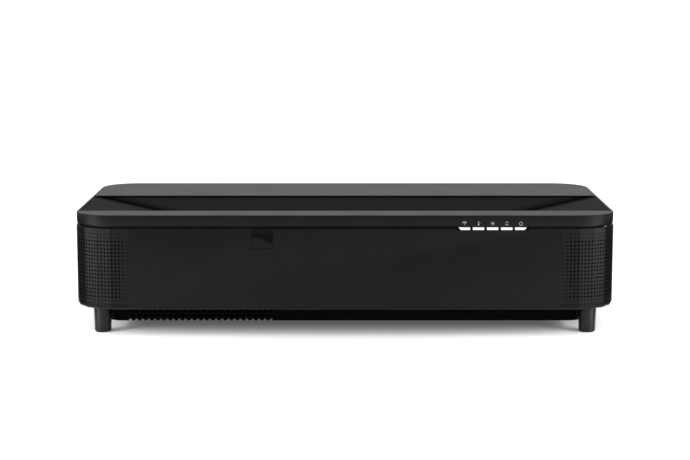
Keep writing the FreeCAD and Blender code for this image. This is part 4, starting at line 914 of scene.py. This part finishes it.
CAD_MATERIALS = {item["node"]: item["material_slot"] for item in frame["record"]["subparts"]}
CRISP_NODES = (
    "rear_panel", "left_side_panel", "right_side_panel", "filter_cover", "base_skirt",
    "status_lights", "window_bezel", "power_button", "power_inlet", "obstacle_sensors", "fan_frames",
    "optical_engine", "laser_module", "mirror_bracket", "filter_frame", "speaker_boxes",
)


def dress_frame():
    """Gives every CAD node the material that the record names, and softens the edges that show."""
    for node in frame["nodes"]:
        dress(node, CAD_MATERIALS[node])
    for node in CRISP_NODES:
        crisp(node)


# ---------------------------------------------------------------- stage

def studio_world():
    """A soft sky: bright overhead, dim at the horizon."""
    world = bpy.data.worlds.new("studio")
    world.use_nodes = True
    tree = world.node_tree
    background = tree.nodes["Background"]
    source = tree.nodes.new("ShaderNodeTexCoord")
    parts = tree.nodes.new("ShaderNodeSeparateXYZ")
    tree.links.new(source.outputs["Generated"], parts.inputs["Vector"])
    tree.links.new(ramped(tree, parts.outputs["Z"], 0.3, 1.5, 0.05, 0.6), background.inputs["Strength"])
    background.inputs["Color"].default_value = (1, 1, 1, 1)
    return world


def dark_card(side):
    """A black card beside the object that only its reflections see."""
    build = bmesh.new()
    near, far = side * 0.42, side * 2.6
    front, back = -0.2, 2.4
    corners = [(near, front, MM), (far, front, MM), (far, back, MM), (near, back, MM)]
    build.faces.new([build.verts.new(corner) for corner in corners])
    mesh = bpy.data.meshes.new("dark_card")
    build.to_mesh(mesh)
    build.free()
    card = bpy.data.objects.new("dark_card", mesh)
    mesh.materials.append(MATERIALS["grille_cloth"])
    card.visible_camera = False
    card.visible_diffuse = False
    card.visible_shadow = False
    bpy.context.scene.collection.objects.link(card)


def pale_floor():
    """A wide, plain floor; its faint glow lightens the shadow under the object."""
    reach = 60
    corners = [(-reach, -reach, 0), (reach, -reach, 0), (reach, reach, 0), (-reach, reach, 0)]
    mesh = bpy.data.meshes.new("floor")
    mesh.from_pydata(corners, [], [(0, 1, 2, 3)])
    floor = bpy.data.objects.new("floor", mesh)
    bpy.context.scene.collection.objects.link(floor)
    paint, _, shader = principled("floor_paint", (0.9, 0.9, 0.9), 0.9)
    shader.inputs["Specular IOR Level"].default_value = 0.1
    shader.inputs["Emission Color"].default_value = (1, 1, 1, 1)
    shader.inputs["Emission Strength"].default_value = 0.095
    mesh.materials.append(paint)


def bounce_lamp(side, power):
    """A wide lamp over the floor beside the object, which lights the floor for the facets to reflect."""
    lamp = bpy.data.lights.new("bounce", "AREA")
    lamp.shape = "RECTANGLE"
    lamp.size = 0.85
    lamp.size_y = 0.42
    lamp.energy = power
    holder = bpy.data.objects.new("bounce", lamp)
    holder.location = (side * 0.98, -0.53, 0.26)
    holder.rotation_euler = (0, 0, math.radians(-side * 30))
    holder.visible_camera = False
    bpy.context.scene.collection.objects.link(holder)


def front_camera():
    """A camera before the object, a little above it and tilted down."""
    distance, rise = 2.225, 0.3126
    tilt = math.radians(8.464)
    camera = bpy.data.cameras.new("camera")
    camera.sensor_width = 36
    camera.lens = 92.57
    camera.clip_end = 200
    holder = bpy.data.objects.new("camera", camera)
    holder.location = (0, -HALF_DEPTH - distance, LID_TOP + rise)
    holder.rotation_euler = (math.pi / 2 - tilt, 0, 0)
    bpy.context.scene.collection.objects.link(holder)
    bpy.context.scene.camera = holder
    bpy.context.scene.view_settings.view_transform = "Standard"


def stage():
    """A plain pale floor, soft light and the camera."""
    pale_floor()
    bpy.context.scene.world = studio_world()
    for side, power in ((-1, 14), (1, 13)):
        bounce_lamp(side, power)
        dark_card(side)
    front_camera()


# ---------------------------------------------------------------- build

dress_frame()
front_rim()
shoulder(-1, "left_shoulder")
shoulder(1, "right_shoulder")
trough_ramp()
top_cover()
perforated_corner(-1, "speaker_grille_left")
perforated_corner(1, "speaker_grille_right")
front_panel()
remote_window()
base_tray_skin()
foot("foot_left", "foot_left", "foot_pad_left")
foot("foot_right", "foot_right", "foot_pad_right")
foot("case", "rear_feet", "rear_foot_pads")
status_icons()
badge_bar()
stage()
